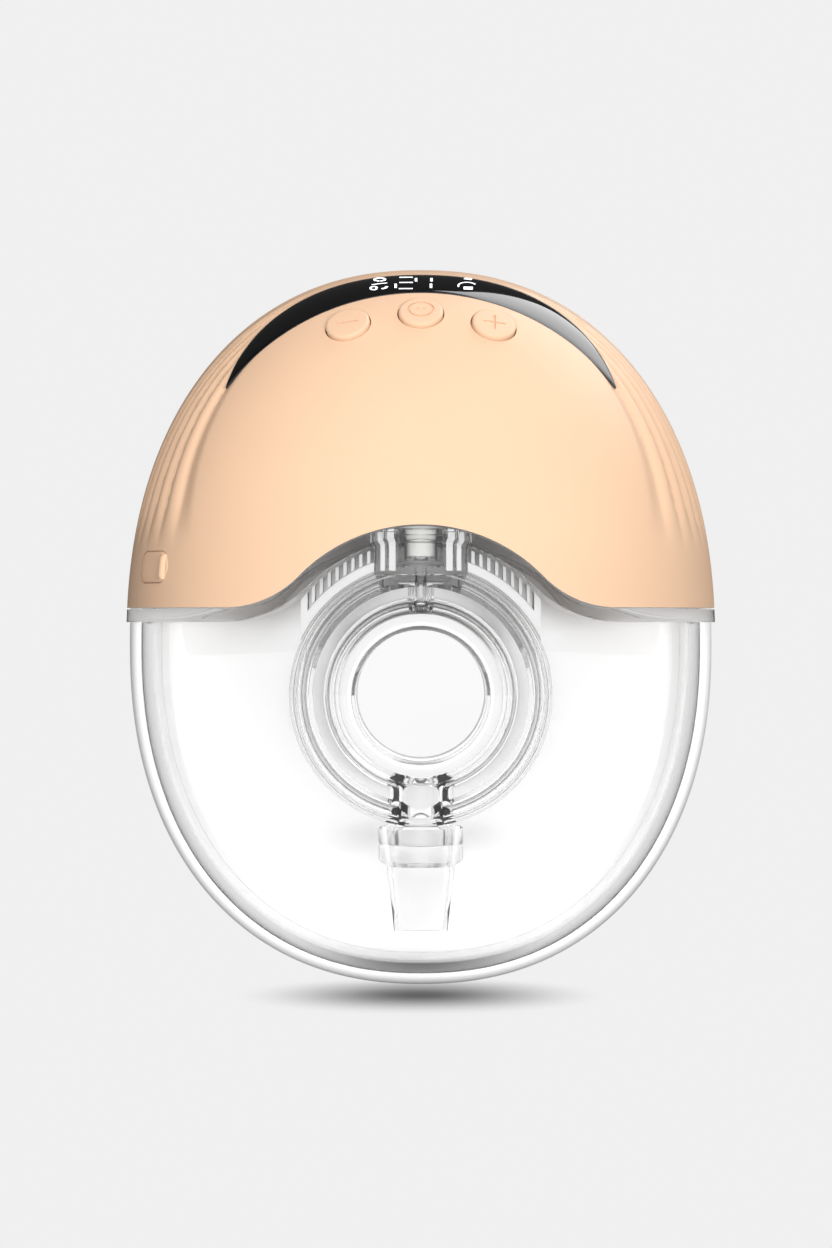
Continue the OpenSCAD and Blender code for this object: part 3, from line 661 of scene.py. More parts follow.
def icon_marks():
    """A drop over a line and a hook on the left, and a wave over a bar on the right."""
    drop = [(-7.7 + 1.0 * math.sin(a) * (1 if math.cos(a) < 0.4 else 0.55), 2.2 - 1.1 * math.cos(a))
            for a in np.linspace(0.3, 2 * math.pi - 0.3, 14)]
    loop = [(-8.8 + 0.6 * math.cos(a), -2.9 + 1.0 * math.sin(a)) for a in np.linspace(0, 6.0, 12)]
    arch = [(8.7 + 1.7 * math.cos(a), -1.6 + 2.2 * math.sin(a)) for a in np.linspace(0.5, 3.4, 12)]
    left = [stroke(drop, 0.45), stroke([(-9.2, -0.9), (-7.8, -0.3), (-6.3, 0.0)], 0.3),
            stroke(loop, 0.4),
            stroke([(-7.3, -3.4), (-6.6, -2.9), (-6.3, -2.0)], 0.5)]
    right = [stroke(arch, 0.3), stroke([(8.2, 3.0), (9.6, 2.6)], 0.8),
             stroke([(8.0, -2.9), (9.7, -2.9)], 1.5)]
    return left + right


def symbols():
    """Lit digits and icons on the display, in one mesh."""
    marks = digit_marks() + icon_marks()
    verts, faces = [], []
    for rings in marks:
        for ring in rings:
            verts += [tuple(p) for p in ring]
        start = len(verts) - 4 * len(rings)
        for k in range(len(rings) - 1):
            a = start + 4 * k
            faces += [(a + i, a + (i + 1) % 4, a + 4 + (i + 1) % 4, a + 4 + i) for i in range(4)]
        faces += [(start + 3, start + 2, start + 1, start), tuple(len(verts) - 4 + i for i in range(4))]
    piece = mesh_piece("lit_symbols", verts, faces)
    finish_piece(piece, "suction_unit", "black_lens", GLOW, shade=False)


# ---------------------------------------------------------------- buttons

CAP_RISE = 0.8
ENGRAVE = 0.34
MARK_BASE = CAP_RISE - ENGRAVE
STEM_R = 1.2
STEM_END = 4.8
FLANGE_LOW, FLANGE_HIGH = -3.8, -3.2
FLANGE_OUT = 0.8


def engraved_bar(place, length, turn=0.0):
    """Straight groove cutter across a button's face."""
    spin = place @ Matrix.Rotation(turn, 4, "Z")
    return box_solid("cut", (-length / 2, -0.2, MARK_BASE), (length / 2, 0.2, 2), spin)


def face_mark(place):
    """Cutters of the mode button's face: an oval ring, two dots and a small notch."""
    ring = [(1.62, MARK_BASE), (1.95, MARK_BASE), (1.95, 2), (1.62, 2)]
    stretch = place @ Matrix.Diagonal((1.28, 1.18, 1, 1)) @ Matrix.Translation(Vector((0, 0.35, 0)))
    cuts = [lathe("cut", ring, stretch)]
    for side in (-1, 1):
        at = place @ Matrix.Translation(Vector((0.62 * side, 0.55, 0)))
        cuts.append(disc("cut", 0.28, 0.6, 2, at, 24))
    notch = place @ Matrix.Translation(Vector((0, -1.7, 0)))
    cuts.append(box_solid("cut", (-0.35, -0.25, MARK_BASE), (0.35, 0.25, 2), notch))
    return cuts


def button(name):
    """Round button with a soft edge, a retaining flange and a stem."""
    x, h = BUTTON_PLACES[name]
    normal = skin_normal(x, h)
    across = Vector((1, 0, 0)) - normal * normal.x
    across.normalize()
    basis = Matrix((across, normal.cross(across), normal)).transposed().to_4x4()
    place = Matrix.Translation(skin_point(x, h)) @ basis
    r = BUTTON_D / 2
    flange_r = r + FLANGE_OUT
    profile = [(0, -STEM_END, 0), (STEM_R, -STEM_END), (STEM_R, FLANGE_LOW, 0.1), (flange_r, FLANGE_LOW, 0.1),
               (flange_r, FLANGE_HIGH, 0.1), (r, FLANGE_HIGH, 0.1), (r, CAP_RISE, 0.55), (0, CAP_RISE, 0)]
    cap = lathe(name + "_cap", round_corners(profile, 0.2, 6), place)
    if name == "button_mode":
        combine(cap, *face_mark(place))
    else:
        turns = (0.0,) if name == "button_minus" else (0.0, math.pi / 2)
        combine(cap, *[engraved_bar(place, 4.2, t) for t in turns])
    finish_piece(cap, name, "peach_case", CASE, name, angle=34)


# ---------------------------------------------------------------- charging cover

PORT_X = -0.893 * HALF_W
PORT_H = WAVE_FLAT + 7.7
FLAP_LEN = 12.0
FLAP_W = 5.8
FLAP_T = 0.75
FLAP_GAP = 0.3
LIP_START = -FLAP_LEN / 2 + 1.7
LIP_HALF = 2.3


def port_place():
    """Frame at the port: +X out of the case, +Y back, +Z up."""
    n = skin_normal(PORT_X, PORT_H)
    out = Vector((n.x, n.y, 0)).normalized()
    back = Vector((out.y, -out.x, 0))
    basis = Matrix((out, back, Vector((0, 0, 1)))).transposed().to_4x4()
    return Matrix.Translation(skin_point(PORT_X, PORT_H)) @ basis


def oblong(length, width, steps=12):
    """Outline of a bar with round ends, as (along, up) points."""
    r, reach = width / 2, (length - width) / 2
    angles = np.linspace(-math.pi / 2, math.pi / 2, steps)
    ends = [(reach + r * math.cos(a), r * math.sin(a)) for a in angles]
    return ends + [(-y, -z) for y, z in ends]


def port_recess():
    place = port_place()
    flat = oblong(FLAP_LEN + FLAP_GAP, FLAP_W + FLAP_GAP)
    return loft("recess", [[place @ Vector((x, y, z)) for y, z in flat] for x in (-1.0, 4.0)])


def port_skin(y, z):
    """Distance of the case's skin in front of the port's frame plane at a place on it."""
    place = port_place()
    x = 0.0
    for _ in range(12):
        p = place @ Vector((x, y, z))
        level = (abs(p.x / HALF_W) ** OUTLINE_POWER + abs((p.z - WIDEST_Z) / UPPER_H) ** OUTLINE_POWER
                 + ((BASE_Y - p.y) / DOME_DEPTH) ** 2 * (p.y < BASE_Y))
        x -= (level - 1) * 14
    return x


def port_cover():
    """Oblong silicone cover that follows the case, with a pull lip at its front end."""
    place = port_place()

    def above(y, z, lift):
        return place @ Vector((port_skin(y, z) + lift, y, z))

    rings = [[above(y, z, -FLAP_T) for y, z in oblong(FLAP_LEN - 5, 0.9)]]
    for inset, lift in ((0.0, -FLAP_T), (0.0, -0.12), (0.12, 0.02), (0.4, 0.1), (1.4, 0.12), (2.4, 0.12)):
        flat = oblong(FLAP_LEN - 2 * inset, FLAP_W - 2 * inset)
        rings.append([above(y, z, lift) for y, z in flat])
    rings.append([above(y, z, 0.12) for y, z in oblong(FLAP_LEN - 5.6, 0.2)])
    flap = loft("port_cover", rings)
    across = np.linspace(-LIP_HALF, LIP_HALF, 9)
    rows = []
    for k in range(9):
        a = math.pi * k / 8
        y, lift = LIP_START - 0.9 * math.cos(a), 0.75 * math.sin(a)
        rows.append([above(y, z, lift if abs(z) < 2.2 else lift * 0.6) for z in across])
    rows.append([above(LIP_START, z, -0.4) for z in across])
    columns = [[row[i] for row in rows] for i in range(9)]
    combine(flap, loft("lip", columns), how="UNION")
    finish_piece(flap, "usb_cover", "peach_silicone", FLAP, "usb_cover", angle=50)


# ---------------------------------------------------------------- clear collector

RIM_R = box_mm("linker")[1][0]
BLOCK_W = 17.2
BLOCK_LOW = RIM_R - TUNNEL_DROP - 2.2
BLOCK_GAP = 0.15
DECK_HOLE_R = CREST_R - 0.5


def collector():
    """One clear body: domed cup, wavy shelf, deck behind the suction unit and back rim."""
    body = dome("clear_collector", CUP_INSET, DECK_Y + 0.8, CUP_SINK, steps=256, rings=96)
    combine(body, below_wave("cut", PART_GAP / 2 + 0.5), how="INTERSECT")
    shelf = dome("shelf", 0.0, DECK_Y + 0.3, steps=256, rings=96)
    band = below_wave("band", PART_GAP / 2)
    combine(band, below_wave("cut", PART_GAP / 2 + SHELF_T, -FAR - 1, FAR + 1))
    combine(shelf, band, how="INTERSECT")
    deck = prism("deck", outline(CUP_INSET + 0.4), DECK_Y, DECK_Y + DECK_T)
    combine(deck, below_wave("cut", PART_GAP / 2 + SHELF_T - 0.4))
    rim = prism("rim", outline(CUP_INSET), DECK_Y + 0.1, CUP_BACK_Y)
    combine(rim, prism("cut", outline(CUP_INSET + CUP_WALL - 0.1), DECK_Y, CUP_BACK_Y + 1))
    hollow = dome("hollow", CUP_INSET + CUP_WALL, DECK_Y + 3, CUP_SINK + CUP_WALL, steps=256, rings=96)
    combine(hollow, below_wave("cut", PART_GAP / 2 + SHELF_T), how="INTERSECT")
    combine(body, hollow)
    combine(body, shelf, deck, rim, how="UNION")
    notch = BLOCK_W / 2 + BLOCK_GAP
    combine(body, box_solid("cut", (-notch, AIR_Y - notch, WIDEST_Z + BLOCK_LOW),
                            (notch, AIR_Y + notch, WIDEST_Z + CREST_R)))
    combine(body, disc("cut", DECK_HOLE_R, DECK_Y - 1, DECK_Y + 3, ALONG_Y, 128))
    finish_piece(body, "collector", "clear_cup", CLEAR, "milk_collector", angle=24)


# ---------------------------------------------------------------- linker

TUBE_R = TUNNEL_R + 2.75
TUBE_WALL = 1.8
LINK_FRONT = -19.0
LINK_REAR = 6.0
CAP_T = 2.0
RIM_WALL = 1.4
RIM_FRONT, RIM_REAR = -15.0, -3.0
WEB_FRONT, WEB_REAR = -12.0, -10.0
BLOCK_BARS = ((7.0, 0.95, 1.5), (5.25, 1.3, 1.5))
BLOCK_SLOTS = ((8.0, 0.45, 3.0), *BLOCK_BARS, (3.9, 0.4, 1.2))
SOCKET_WALL = 2.1
POST_R, POST_BORE_R = 2.4, 1.2
SPIGOT_WALL = 1.6


def coved_web(r0, inner, outer, r1, front, back, cove=1.7, slope=2.8):
    """Outline of the web between tube and rim, with a cove inside and a slope outside."""
    sweep = [(cove * (1 - math.cos(a)), cove * (1 - math.sin(a))) for a in np.linspace(0, math.pi / 2, 8)]
    face = [(r0, front - cove)] + [(inner + dx, front - dy) for dx, dy in sweep]
    face += [(outer - slope, front), (outer - slope * 0.12, front - slope * 0.9), (r1, front - slope * 0.9)]
    return face + [(r, front + back - y) for r, y in reversed(face)]


def link_band(r0, r1, y0, y1, rounding):
    """Round band with soft edges about the tunnel's axis."""
    corners = [(r0, y0), (r1, y0), (r1, y1), (r0, y1)]
    return lathe("part", round_corners(corners, rounding), ALONG_Y, 160)


def link_shell():
    """Capped tube of the linker, then the collar, web and rim round it."""
    outer, floor = TUBE_R + TUBE_WALL, LINK_FRONT + CAP_T
    corners = [(0, LINK_FRONT, 0), (TUBE_R - 1.2, LINK_FRONT, 0.8), (outer, LINK_FRONT + 3, 1.5),
               (outer, LINK_REAR), (TUBE_R, LINK_REAR), (TUBE_R, floor, 1.5), (0, floor, 0)]
    body = lathe("clear_linker", round_corners(corners, 0.4, 5), ALONG_Y, 160)
    collar = link_band(TUNNEL_R, TUNNEL_R + 0.8, LINK_FRONT - 0.8, LINK_FRONT + 0.5, 0.3)
    web = coved_web(TUBE_R + 1, outer, RIM_R - RIM_WALL, RIM_R - 0.5, WEB_FRONT, WEB_REAR)
    web = lathe("part", web, ALONG_Y, 160)
    return body, [collar, web, link_band(RIM_R - RIM_WALL, RIM_R, RIM_FRONT, RIM_REAR, 0.6)]


def socket_block(top):
    """Block under the air port, with upright slots in its face."""
    half = BLOCK_W / 2
    low, high = WIDEST_Z + BLOCK_LOW, WIDEST_Z + top
    block = box_solid("part", (-half, AIR_Y - half, low), (half, AIR_Y + half, high))
    bevel = block.modifiers.new("bevel", "BEVEL")
    bevel.width, bevel.segments = 0.5 * MM, 3
    settle(block)
    slots = [box_solid("cut", (side * x - w / 2, AIR_Y - half - 1, low + 0.8),
                       (side * x + w / 2, AIR_Y - half + d, high + 1))
             for side in (-1, 1) for x, w, d in BLOCK_SLOTS]
    return combine(block, *slots)


def linker():
    """Clear ring with a front cap, a rim, a socket block and a valve port."""
    body, parts = link_shell()
    block_top = box_mm("linker")[1][2] - WIDEST_Z
    block = socket_block(block_top)
    post = disc("part", POST_R, 0, BLOCK_LOW + 1 - TUBE_R + TUNNEL_DROP,
                upright_z(0, AIR_Y, TUBE_R - TUNNEL_DROP + 0.5), 48)
    valve_low, valve_high = box_mm("duckbill_valve")
    spigot_r = (valve_high[0] - valve_low[0]) / 2 - 1.85
    valve_y = float(valve_low[1] + valve_high[1]) / 2
    port = Matrix.Translation(Vector((0, valve_y, valve_high[2])))
    corners = [(0, -3.4, 0), (spigot_r, -3.4), (spigot_r, 9), (0, 9, 0)]
    spigot = lathe("part", round_corners(corners, 0.3), port, 64)
    combine(body, *parts, block, post, spigot, how="UNION")
    combine(body, disc("cut", TUBE_R - 0.01, LINK_FRONT + CAP_T + 0.01, LINK_REAR + 1, ALONG_Y, 160))
    groove = [(TUNNEL_R, LINK_FRONT + 3), (TUNNEL_R, LINK_FRONT + 0.8),
              (TUNNEL_R + 1.0, LINK_FRONT + 2.4), (TUNNEL_R + 1.0, LINK_FRONT + 3)]
    combine(body, lathe("cut", groove, ALONG_Y, 160))
    socket_r = BLOCK_W / 2 - SOCKET_WALL
    combine(body, disc("cut", socket_r, -6, 2, upright_z(0, AIR_Y, block_top), 64))
    combine(body, disc("cut", POST_BORE_R, -8, 9, upright_z(0, AIR_Y, TUBE_R - TUNNEL_DROP + 2), 32))
    combine(body, disc("cut", spigot_r - SPIGOT_WALL, -5, 9.5, port, 64))
    finish_piece(body, "collector", "clear_linker", LINK, "linker", angle=28)


RIB_DEPTH = 8.0
RIB_HEIGHT = 40.0
SADDLE_T = 1.8
SADDLE_HALF = 22.0
HOOK_X = 21.4
SEAT_GAP = 0.03


def rib_tree():
    """Node tree of two mirrored rows of thin upright ribs."""
    tree = bpy.data.node_groups.new("rib_row", "GeometryNodeTree")
    sizes = (("Ribs", "NodeSocketInt", 9), ("Pitch", "NodeSocketFloat", 1.45 * MM),
             ("Start", "NodeSocketFloat", 9.6 * MM), ("Thickness", "NodeSocketFloat", 0.6 * MM))
    for label, kind, value in sizes:
        tree.interface.new_socket(label, in_out="INPUT", socket_type=kind).default_value = value
    tree.interface.new_socket("Geometry", in_out="OUTPUT", socket_type="NodeSocketGeometry")
    node, wire = tree.nodes.new, tree.links.new
    start, end = node("NodeGroupInput"), node("NodeGroupOutput")
    line = node("GeometryNodeMeshLine")
    wire(start.outputs["Ribs"], line.inputs["Count"])
    for label, output in (("Offset", "Pitch"), ("Start Location", "Start")):
        vector = node("ShaderNodeCombineXYZ")
        wire(start.outputs[output], vector.inputs["X"])
        wire(vector.outputs[0], line.inputs[label])
    cube = node("GeometryNodeMeshCube")
    size = node("ShaderNodeCombineXYZ")
    size.inputs["Y"].default_value = RIB_DEPTH * MM
    size.inputs["Z"].default_value = RIB_HEIGHT * MM
    wire(start.outputs["Thickness"], size.inputs["X"])
    wire(size.outputs[0], cube.inputs["Size"])
    place = node("GeometryNodeInstanceOnPoints")
    wire(line.outputs[0], place.inputs["Points"])
    wire(cube.outputs["Mesh"], place.inputs["Instance"])
    turned = node("GeometryNodeTransform")
    turned.inputs["Rotation"].default_value = (0, 0, math.pi)
    wire(place.outputs[0], turned.inputs["Geometry"])
    both = node("GeometryNodeJoinGeometry")
    wire(place.outputs[0], both.inputs[0])
    wire(turned.outputs[0], both.inputs[0])
    real = node("GeometryNodeRealizeInstances")
    wire(both.outputs[0], real.inputs[0])
    paint = node("GeometryNodeSetMaterial")
    paint.inputs["Material"].default_value = FROST
    wire(real.outputs[0], paint.inputs["Geometry"])
    wire(paint.outputs[0], end.inputs[0])
    return tree


def above_axis(half_width, front, rear):
    """Block that stands on the tunnel's axis, over its full height."""
    return box_solid("cut", (-half_width, front, TUNNEL_Z), (half_width, rear, TUNNEL_Z + RIB_HEIGHT))


def saddle_ribs():
    """Frosted saddle with upright ribs in two rows, and the bars in its block's slots."""
    ribs = link("ribs", bpy.data.meshes.new("ribs"))
    ribs.modifiers.new("ribs", "NODES").node_group = rib_tree()
    settle(ribs)
    ribs.data.transform(Matrix.Translation(Vector((0, -10 * MM, (TUNNEL_Z + 20) * MM))))
    hooks = [box_solid("hook", (side * HOOK_X - 0.6, RIM_FRONT, TUNNEL_Z),
                       (side * HOOK_X + 0.6, RIM_REAR, TUNNEL_Z + RIB_HEIGHT)) for side in (-1, 1)]
    combine(ribs, *hooks, how="UNION")
    top = CREST_R - PART_GAP / 2 - SHELF_T - 0.3
    seat = RIM_R + SADDLE_T
    combine(ribs, disc("arch", top, RIM_FRONT, RIM_REAR, ALONG_Y, 160, seat - 0.4), how="INTERSECT")
    band = link_band(RIM_R + SEAT_GAP, seat, RIM_FRONT, RIM_REAR, 0.3)
    combine(band, above_axis(SADDLE_HALF, RIM_FRONT - 1, RIM_REAR + 1), how="INTERSECT")
    combine(ribs, band, how="UNION")
    combine(ribs, above_axis(BLOCK_W / 2 + SEAT_GAP, RIM_FRONT - 1, RIM_REAR + 1))
    low, high = WIDEST_Z + BLOCK_LOW + 0.9, box_mm("linker")[1][2] - 0.5
    face = AIR_Y - BLOCK_W / 2
    bars = [box_solid("bar", (side * x - w / 2 + 0.05, face + 0.1, low),
                      (side * x + w / 2 - 0.05, face + d - 0.05, high))
            for side in (-1, 1) for x, w, d in BLOCK_BARS]
    combine(ribs, *bars, how="UNION")
    finish_piece(ribs, "collector", "clear_linker", FROST)


# ---------------------------------------------------------------- silicone pieces

LIPS_FROM = 8.9


def valve():
    """Duckbill valve: a thick collar, a throat and two lips that close on a line."""
    low, high = box_mm("duckbill_valve")
    r = (high[0] - low[0]) / 2
    y = (low[1] + high[1]) / 2
    length = high[2] - low[2]
    throat, inner, lip = r - 1.6, r - 1.82, 4.95
    rings = []

    def ring(radius, drop, wide=None, thick=None, mix=0.0, steps=72):
        loop = []
        for i in range(steps):
            a = 2 * math.pi * i / steps
            x, v = radius * math.cos(a), radius * math.sin(a)
            if wide is not None:
                x = (1 - mix) * x + mix * wide * math.copysign(abs(math.cos(a)) ** 0.6, math.cos(a))
                v = (1 - mix) * v + mix * thick * math.copysign(abs(math.sin(a)) ** 0.6, math.sin(a))
            loop.append((x, y + v, high[2] - drop))
        rings.append(loop)

    collar = ((r - 0.4, 0.0), (r, 0.4), (r, 3.0), (r - 0.12, 3.2), (r - 0.12, 3.5), (r, 3.7),
              (r, 6.0), (r - 0.5, 6.6), (throat, 7.4), (throat, LIPS_FROM))
    for radius, drop in collar:
        ring(radius, drop)
    for k in range(1, 11):
        ring(throat, LIPS_FROM + (length - LIPS_FROM) * k / 10, lip, 0.95, (k / 10) ** 0.9)
    ring(throat, length, lip - 0.3, 0.55, 1.0)
    for k in range(10, 0, -1):
        ring(throat - 1, LIPS_FROM + (length - LIPS_FROM) * k / 10, lip - 0.9, 0.3, (k / 10) ** 0.9)
    bore = ((throat - 1, 8.6), (throat - 1, 3.8), (inner, 3.5), (inner, 0.3), (inner + 0.3, 0.0))
    for radius, drop in bore:
        ring(radius, drop)
    piece = loft("duckbill_valve_skin", rings, tube=True)
    finish_piece(piece, "collector", "silicone", SILICONE, "duckbill_valve", angle=42)


def suction_cup():
    """Silicone cup with a thick mouth and a raised middle."""
    low, high = box_mm("suction_diaphragm")
    r, height = (high[0] - low[0]) / 2, high[2] - low[2]
    inner = r - 0.95
    corners = [(0, 0, 0), (r, 0), (r, height), (4.15, height), (4.15, height - 1.2),
               (inner, height - 1.2), (inner, 0.8), (2.4, 0.8), (1.6, 1.6), (0, 1.6, 0)]
    place = Matrix.Translation(Vector((0, AIR_Y, low[2])))
    cup = lathe("suction_cup", round_corners(corners, 0.25), place, 72)
    finish_piece(cup, "collector", "silicone", SILICONE, "suction_diaphragm")


def flange_ring(s, r, inset, y, steps=192):
    """Ring of the shield, where s runs from the round throat, 0, to the outline, 1."""
    flat = outline(inset, steps)
    return [((1 - s) * r * math.cos(2 * math.pi * i / steps) + s * x, y,
             WIDEST_Z + (1 - s) * (r * math.sin(2 * math.pi * i / steps) - TUNNEL_DROP) + s * h)
            for i, (x, h) in enumerate(flat)]


BEAD_ROUND = 2.1
BEAD_DEEP = 4.0
RIM_ROUND = 2.6
THROAT_Y = 8.0
SHIELD_WALL = 2.0
SHIELD_STEPS = 30
FLARE_START = 0.95


def shield():
    """Silicone shield: tunnel, flared flange and a rim that wraps the collector's back."""
    wall, lip = SHIELD_WALL, CUP_INSET - 0.2
    wrap = lip + 1.4
    tip_y = box_mm("breast_shield")[0][1]
    outer_r = TUNNEL_R + 2.6
    reach = (DECK_HOLE_R - TUNNEL_R - wall) / (UPPER_H + TUNNEL_DROP - wrap - TUNNEL_R - wall)
    rise = (DECK_Y + DECK_T + 1.2 + wall - THROAT_Y) / (BACK_Y - THROAT_Y)
    power = math.log(rise) / math.log(reach)

    def depth(s):
        return THROAT_Y + (BACK_Y - THROAT_Y) * s ** power

    rings = []
    for k in range(9):
        a = math.pi / 2 * k / 8
        inset = BEAD_ROUND * (1 - math.sin(a))
        rings.append(flange_ring(1, 0, inset, BEAD_Y + BEAD_DEEP * (1 - math.cos(a))))
    for k in range(9):
        a = math.pi / 2 * k / 8
        inset = RIM_ROUND * (1 - math.cos(a))
        rings.append(flange_ring(1, 0, inset, BACK_Y - RIM_ROUND + RIM_ROUND * math.sin(a)))
    for k in range(SHIELD_STEPS + 1):
        s = FLARE_START * (1 - k / SHIELD_STEPS) ** 2
        rings.append(flange_ring(s, TUNNEL_R, wrap, depth(s) - 0.35 * (1 - s)))
    rings += [flange_ring(0, TUNNEL_R, 0, y) for y in (THROAT_Y - 3, tip_y + 0.4)]
    tip = ((0.15, 0.1), (0.5, 0.0), (2.1, 0.0), (2.5, 0.1), (2.6, 0.5))
    rings += [flange_ring(0, TUNNEL_R + e, 0, tip_y + d) for e, d in tip]
    rings += [flange_ring(0, outer_r, 0, y) for y in (THROAT_Y - 4, THROAT_Y - 2.6)]
    for k in range(1, SHIELD_STEPS + 1):
        s = FLARE_START * (k / SHIELD_STEPS) ** 2
        rings.append(flange_ring(s, outer_r, wrap, depth(s) - 0.4 - wall * (0.6 + 0.4 * s)))
    rings += [flange_ring(1, 0, lip + 0.4, CUP_BACK_Y + 2.4), flange_ring(1, 0, lip, CUP_BACK_Y + 1.8),
              flange_ring(1, 0, lip, BEAD_Y + 0.5), flange_ring(1, 0, lip - 0.3, BEAD_Y)]
    piece = loft("breast_shield_skin", rings, tube=True)
    finish_piece(piece, "shield", "shield_silicone", SHIELD, "breast_shield", angle=60)


# ---------------------------------------------------------------- pieces whose CAD shape stays


def paint_cad():
    """Gives each CAD node that stays in view its own finish."""
    finishes = {
        CASE: ["housing_back"], DARK: ["tact_switches", "crank", "release_valve"],
        BOARD: ["display_board", "main_board", "charge_board"],
        FLEX: ["switch_board"], CHIP: ["board_chips"],
        FOIL: ["battery"], FOAM: ["battery_pad", "motor_saddle"],
        STEEL: ["motor_can", "release_plunger", "release_spring", "usb_socket", "case_screws"],
        FERRITE: ["motor_magnets"], BRONZE: ["motor_bush"], COPPER: ["motor_rotor"],
        WHITE: ["pump_head", "pump_wobbler", "pump_cover", "air_port"],
        RUBBER: ["pump_diaphragm", "air_port_seal"], SILICONE: ["pump_hose", "release_hose"]}
    for finish, names in finishes.items():
        for name in names:
            node = frame["nodes"][name]
            for slot in node.material_slots:
                slot.material = finish
            if not node.material_slots:
                node.data.materials.append(finish)


# ---------------------------------------------------------------- stage, light and camera


# Painted shadow: albedo of the dark ellipse under the pump; outside it the floor glows evenly.
PAINTED_SHADOW_ALBEDO = 0.16
SHADOW_REACH = (0.036, 0.05, 1.0)
BACKDROP = 0.871
SOFT_BOUNCE = 0.4
MIRRORED = 0.09
THROUGH = 1.14
FRAME_SHARE = 0.7067
FLOOR_HALF = 3.0
FLOOR_SINK = 0.0004
SWEEP_FROM, SWEEP_R = 0.9, 0.6


def ray_level(tree, path):
    """Full for what is seen, soft for scattered light and low for reflections."""
    through = math_node(tree, "MULTIPLY", path.outputs["Is Transmission Ray"], THROUGH)
    seen = math_node(tree, "MAXIMUM", path.outputs["Is Camera Ray"], through)
    soft = math_node(tree, "MULTIPLY", path.outputs["Is Diffuse Ray"], SOFT_BOUNCE)
    return math_node(tree, "MAXIMUM", math_node(tree, "MAXIMUM", seen, soft), MIRRORED)


def stage():
    """Pale seamless floor that sweeps up into a backdrop, with a dark low-albedo ellipse painted under the
    pump as its contact shadow.
    """
    made = bpy.data.materials.new("pale_floor_painted_shadow")
    made.use_nodes = True
    tree = made.node_tree
    shader = tree.nodes["Principled BSDF"]
    shader.inputs["Roughness"].default_value = 0.9
    shader.inputs["Specular IOR Level"].default_value = 0.0
    place = tree.nodes.new("ShaderNodeTexCoord").outputs["Object"]
    spread = tree.nodes.new("ShaderNodeVectorMath")
    spread.operation = "DIVIDE"
    spread.inputs[1].default_value = SHADOW_REACH
    reach = tree.nodes.new("ShaderNodeVectorMath")
    reach.operation = "LENGTH"
    tree.links.new(place, spread.inputs[0])
    tree.links.new(spread.outputs[0], reach.inputs[0])
    # Painted shadow: near is 1 under the pump and fades to 0 at SHADOW_REACH, where the even backdrop glow
    # takes over.
    near = ramp(tree, reach.outputs["Value"], 0.0, 1.0, 1.0, 0.0)
    near.node.interpolation_type = "SMOOTHSTEP"
    path = tree.nodes.new("ShaderNodeLightPath")
    tree.links.new(ray_level(tree, path), shader.inputs["Emission Strength"])
    for label, share, level in (("Base Color", near, PAINTED_SHADOW_ALBEDO),
                                ("Emission Color", math_node(tree, "SUBTRACT", 1.0, near), BACKDROP)):
        tone = tree.nodes.new("ShaderNodeVectorMath")
        tone.operation = "SCALE"
        tone.inputs[0].default_value = (level, level, level)
        tree.links.new(share, tone.inputs["Scale"])
        tree.links.new(tone.outputs[0], shader.inputs[label])
    line = [(-FLOOR_HALF, 0.0), (SWEEP_FROM, 0.0)]
    line += [(SWEEP_FROM + SWEEP_R * math.sin(a), SWEEP_R - SWEEP_R * math.cos(a))
             for a in np.linspace(0.1, math.pi / 2, 14)]
    line += [(1.5, 2.4)]
    verts = [(x, y, z - FLOOR_SINK) for x in (-FLOOR_HALF, FLOOR_HALF) for y, z in line]
    n = len(line)
    mesh = bpy.data.meshes.new("floor")
    mesh.from_pydata(verts, [], [(i, i + n, i + n + 1, i + 1) for i in range(n - 1)])
    mesh.shade_smooth()
    floor = link("floor", mesh)
    floor.data.materials.append(made)


def area(name, at, aim, size, power, size_y=None):
    lamp = bpy.data.lights.new(name, "AREA")
    lamp.energy = power
    lamp.size = size
    if size_y:
        lamp.shape = "RECTANGLE"
        lamp.size_y = size_y
    holder = bpy.data.objects.new(name, lamp)
    holder.location = at
    holder.rotation_euler = (Vector(aim) - Vector(at)).to_track_quat("-Z", "Y").to_euler()
    bpy.context.scene.collection.objects.link(holder)
    return holder


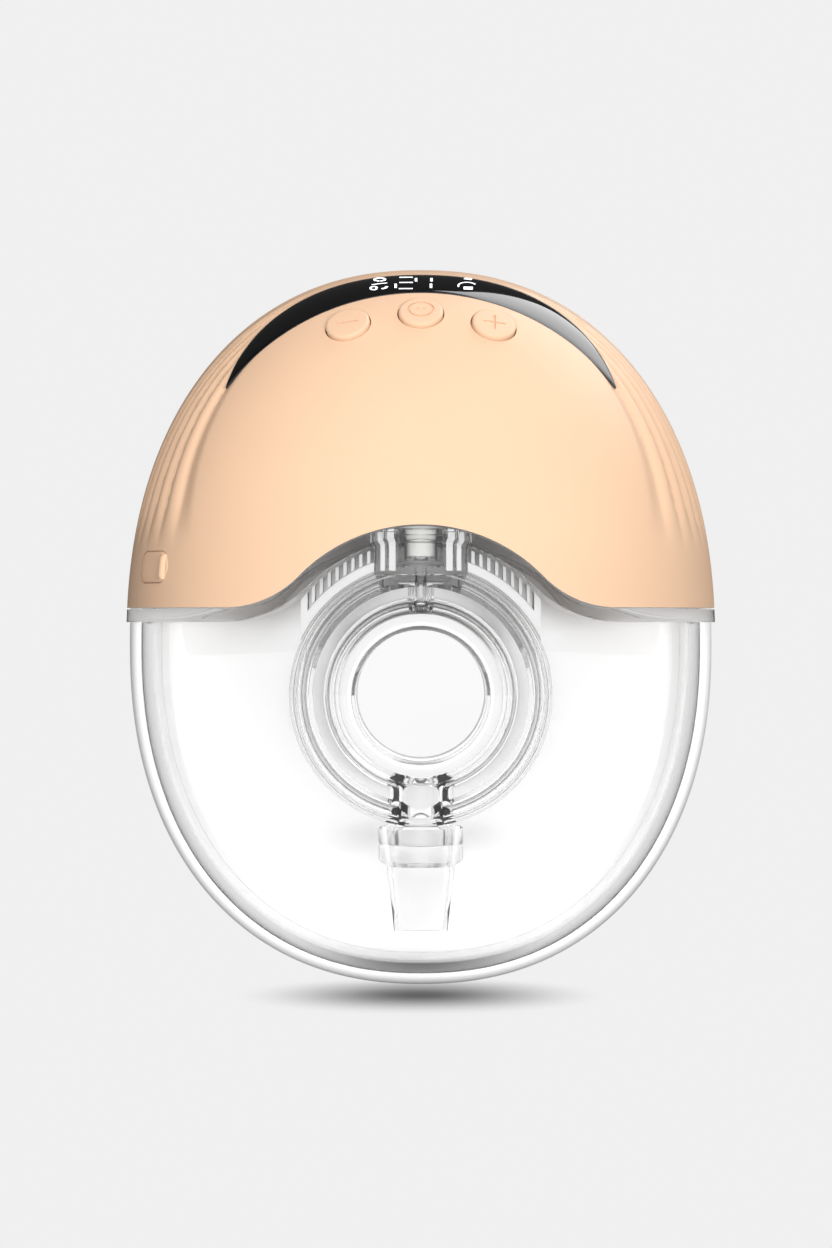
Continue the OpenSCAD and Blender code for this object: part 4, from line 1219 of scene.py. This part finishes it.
def world():
    """Bright surround with two darker sides, which draw the edges of the clear pieces."""
    made = bpy.data.worlds.new("surround")
    bpy.context.scene.world = made
    made.use_nodes = True
    tree = made.node_tree
    back = tree.nodes["Background"]
    way = tree.nodes.new("ShaderNodeTexCoord").outputs["Generated"]
    split = tree.nodes.new("ShaderNodeSeparateXYZ")
    tree.links.new(way, split.inputs[0])
    side = math_node(tree, "ABSOLUTE", split.outputs["X"])
    dim = ramp(tree, side, 0.4, 0.75, 1.0, 0.1)
    path = tree.nodes.new("ShaderNodeLightPath")
    level = ray_level(tree, path)
    around = math_node(tree, "MULTIPLY", dim, level)
    strength = ramp(tree, path.outputs["Is Camera Ray"], 0.0, 1.0, around, BACKDROP)
    tree.links.new(strength, back.inputs["Strength"])
    back.inputs["Color"].default_value = (1.0, 1.0, 1.0, 1)


def lights():
    unseen = [area("front", (0.42 * side, -1.25, 0.105), (0, 0, 0.07), 0.45, power, 0.2)
              for side, power in ((1, 9.5), (-1, 7.6))]
    unseen.append(area("key", (0.1, -0.75, 0.85), (0, 0, 0.08), 0.35, 3.7))
    for lamp in unseen:
        lamp.visible_glossy = False
        lamp.visible_transmission = False
    softbox = area("softbox", (0.6, 0.55, 0.73), (0.6, 0.55, 0), 1.02, 8.6, 0.72)
    softbox.rotation_euler = (0, 0, math.radians(56))


def camera():
    middle = (cad_low + cad_high) / 2
    lens = bpy.data.cameras.new("camera")
    lens.sensor_fit = "HORIZONTAL"
    lens.sensor_width = 36
    lens.lens = 215
    holder = bpy.data.objects.new("camera", lens)
    distance = (cad_high.x - cad_low.x) / FRAME_SHARE * lens.lens / lens.sensor_width
    holder.location = (-0.0009, BASE_Y * MM - distance, middle.z + 0.001)
    holder.rotation_euler = (math.pi / 2, 0, 0)
    bpy.context.scene.collection.objects.link(holder)
    bpy.context.scene.camera = holder


bpy.context.scene.view_settings.view_transform = "Standard"
camera()
stage()
world()
lights()
case_front()
display()
symbols()
for button_name in BUTTON_PLACES:
    button(button_name)
port_cover()
collector()
linker()
saddle_ribs()
valve()
suction_cup()
shield()
paint_cad()
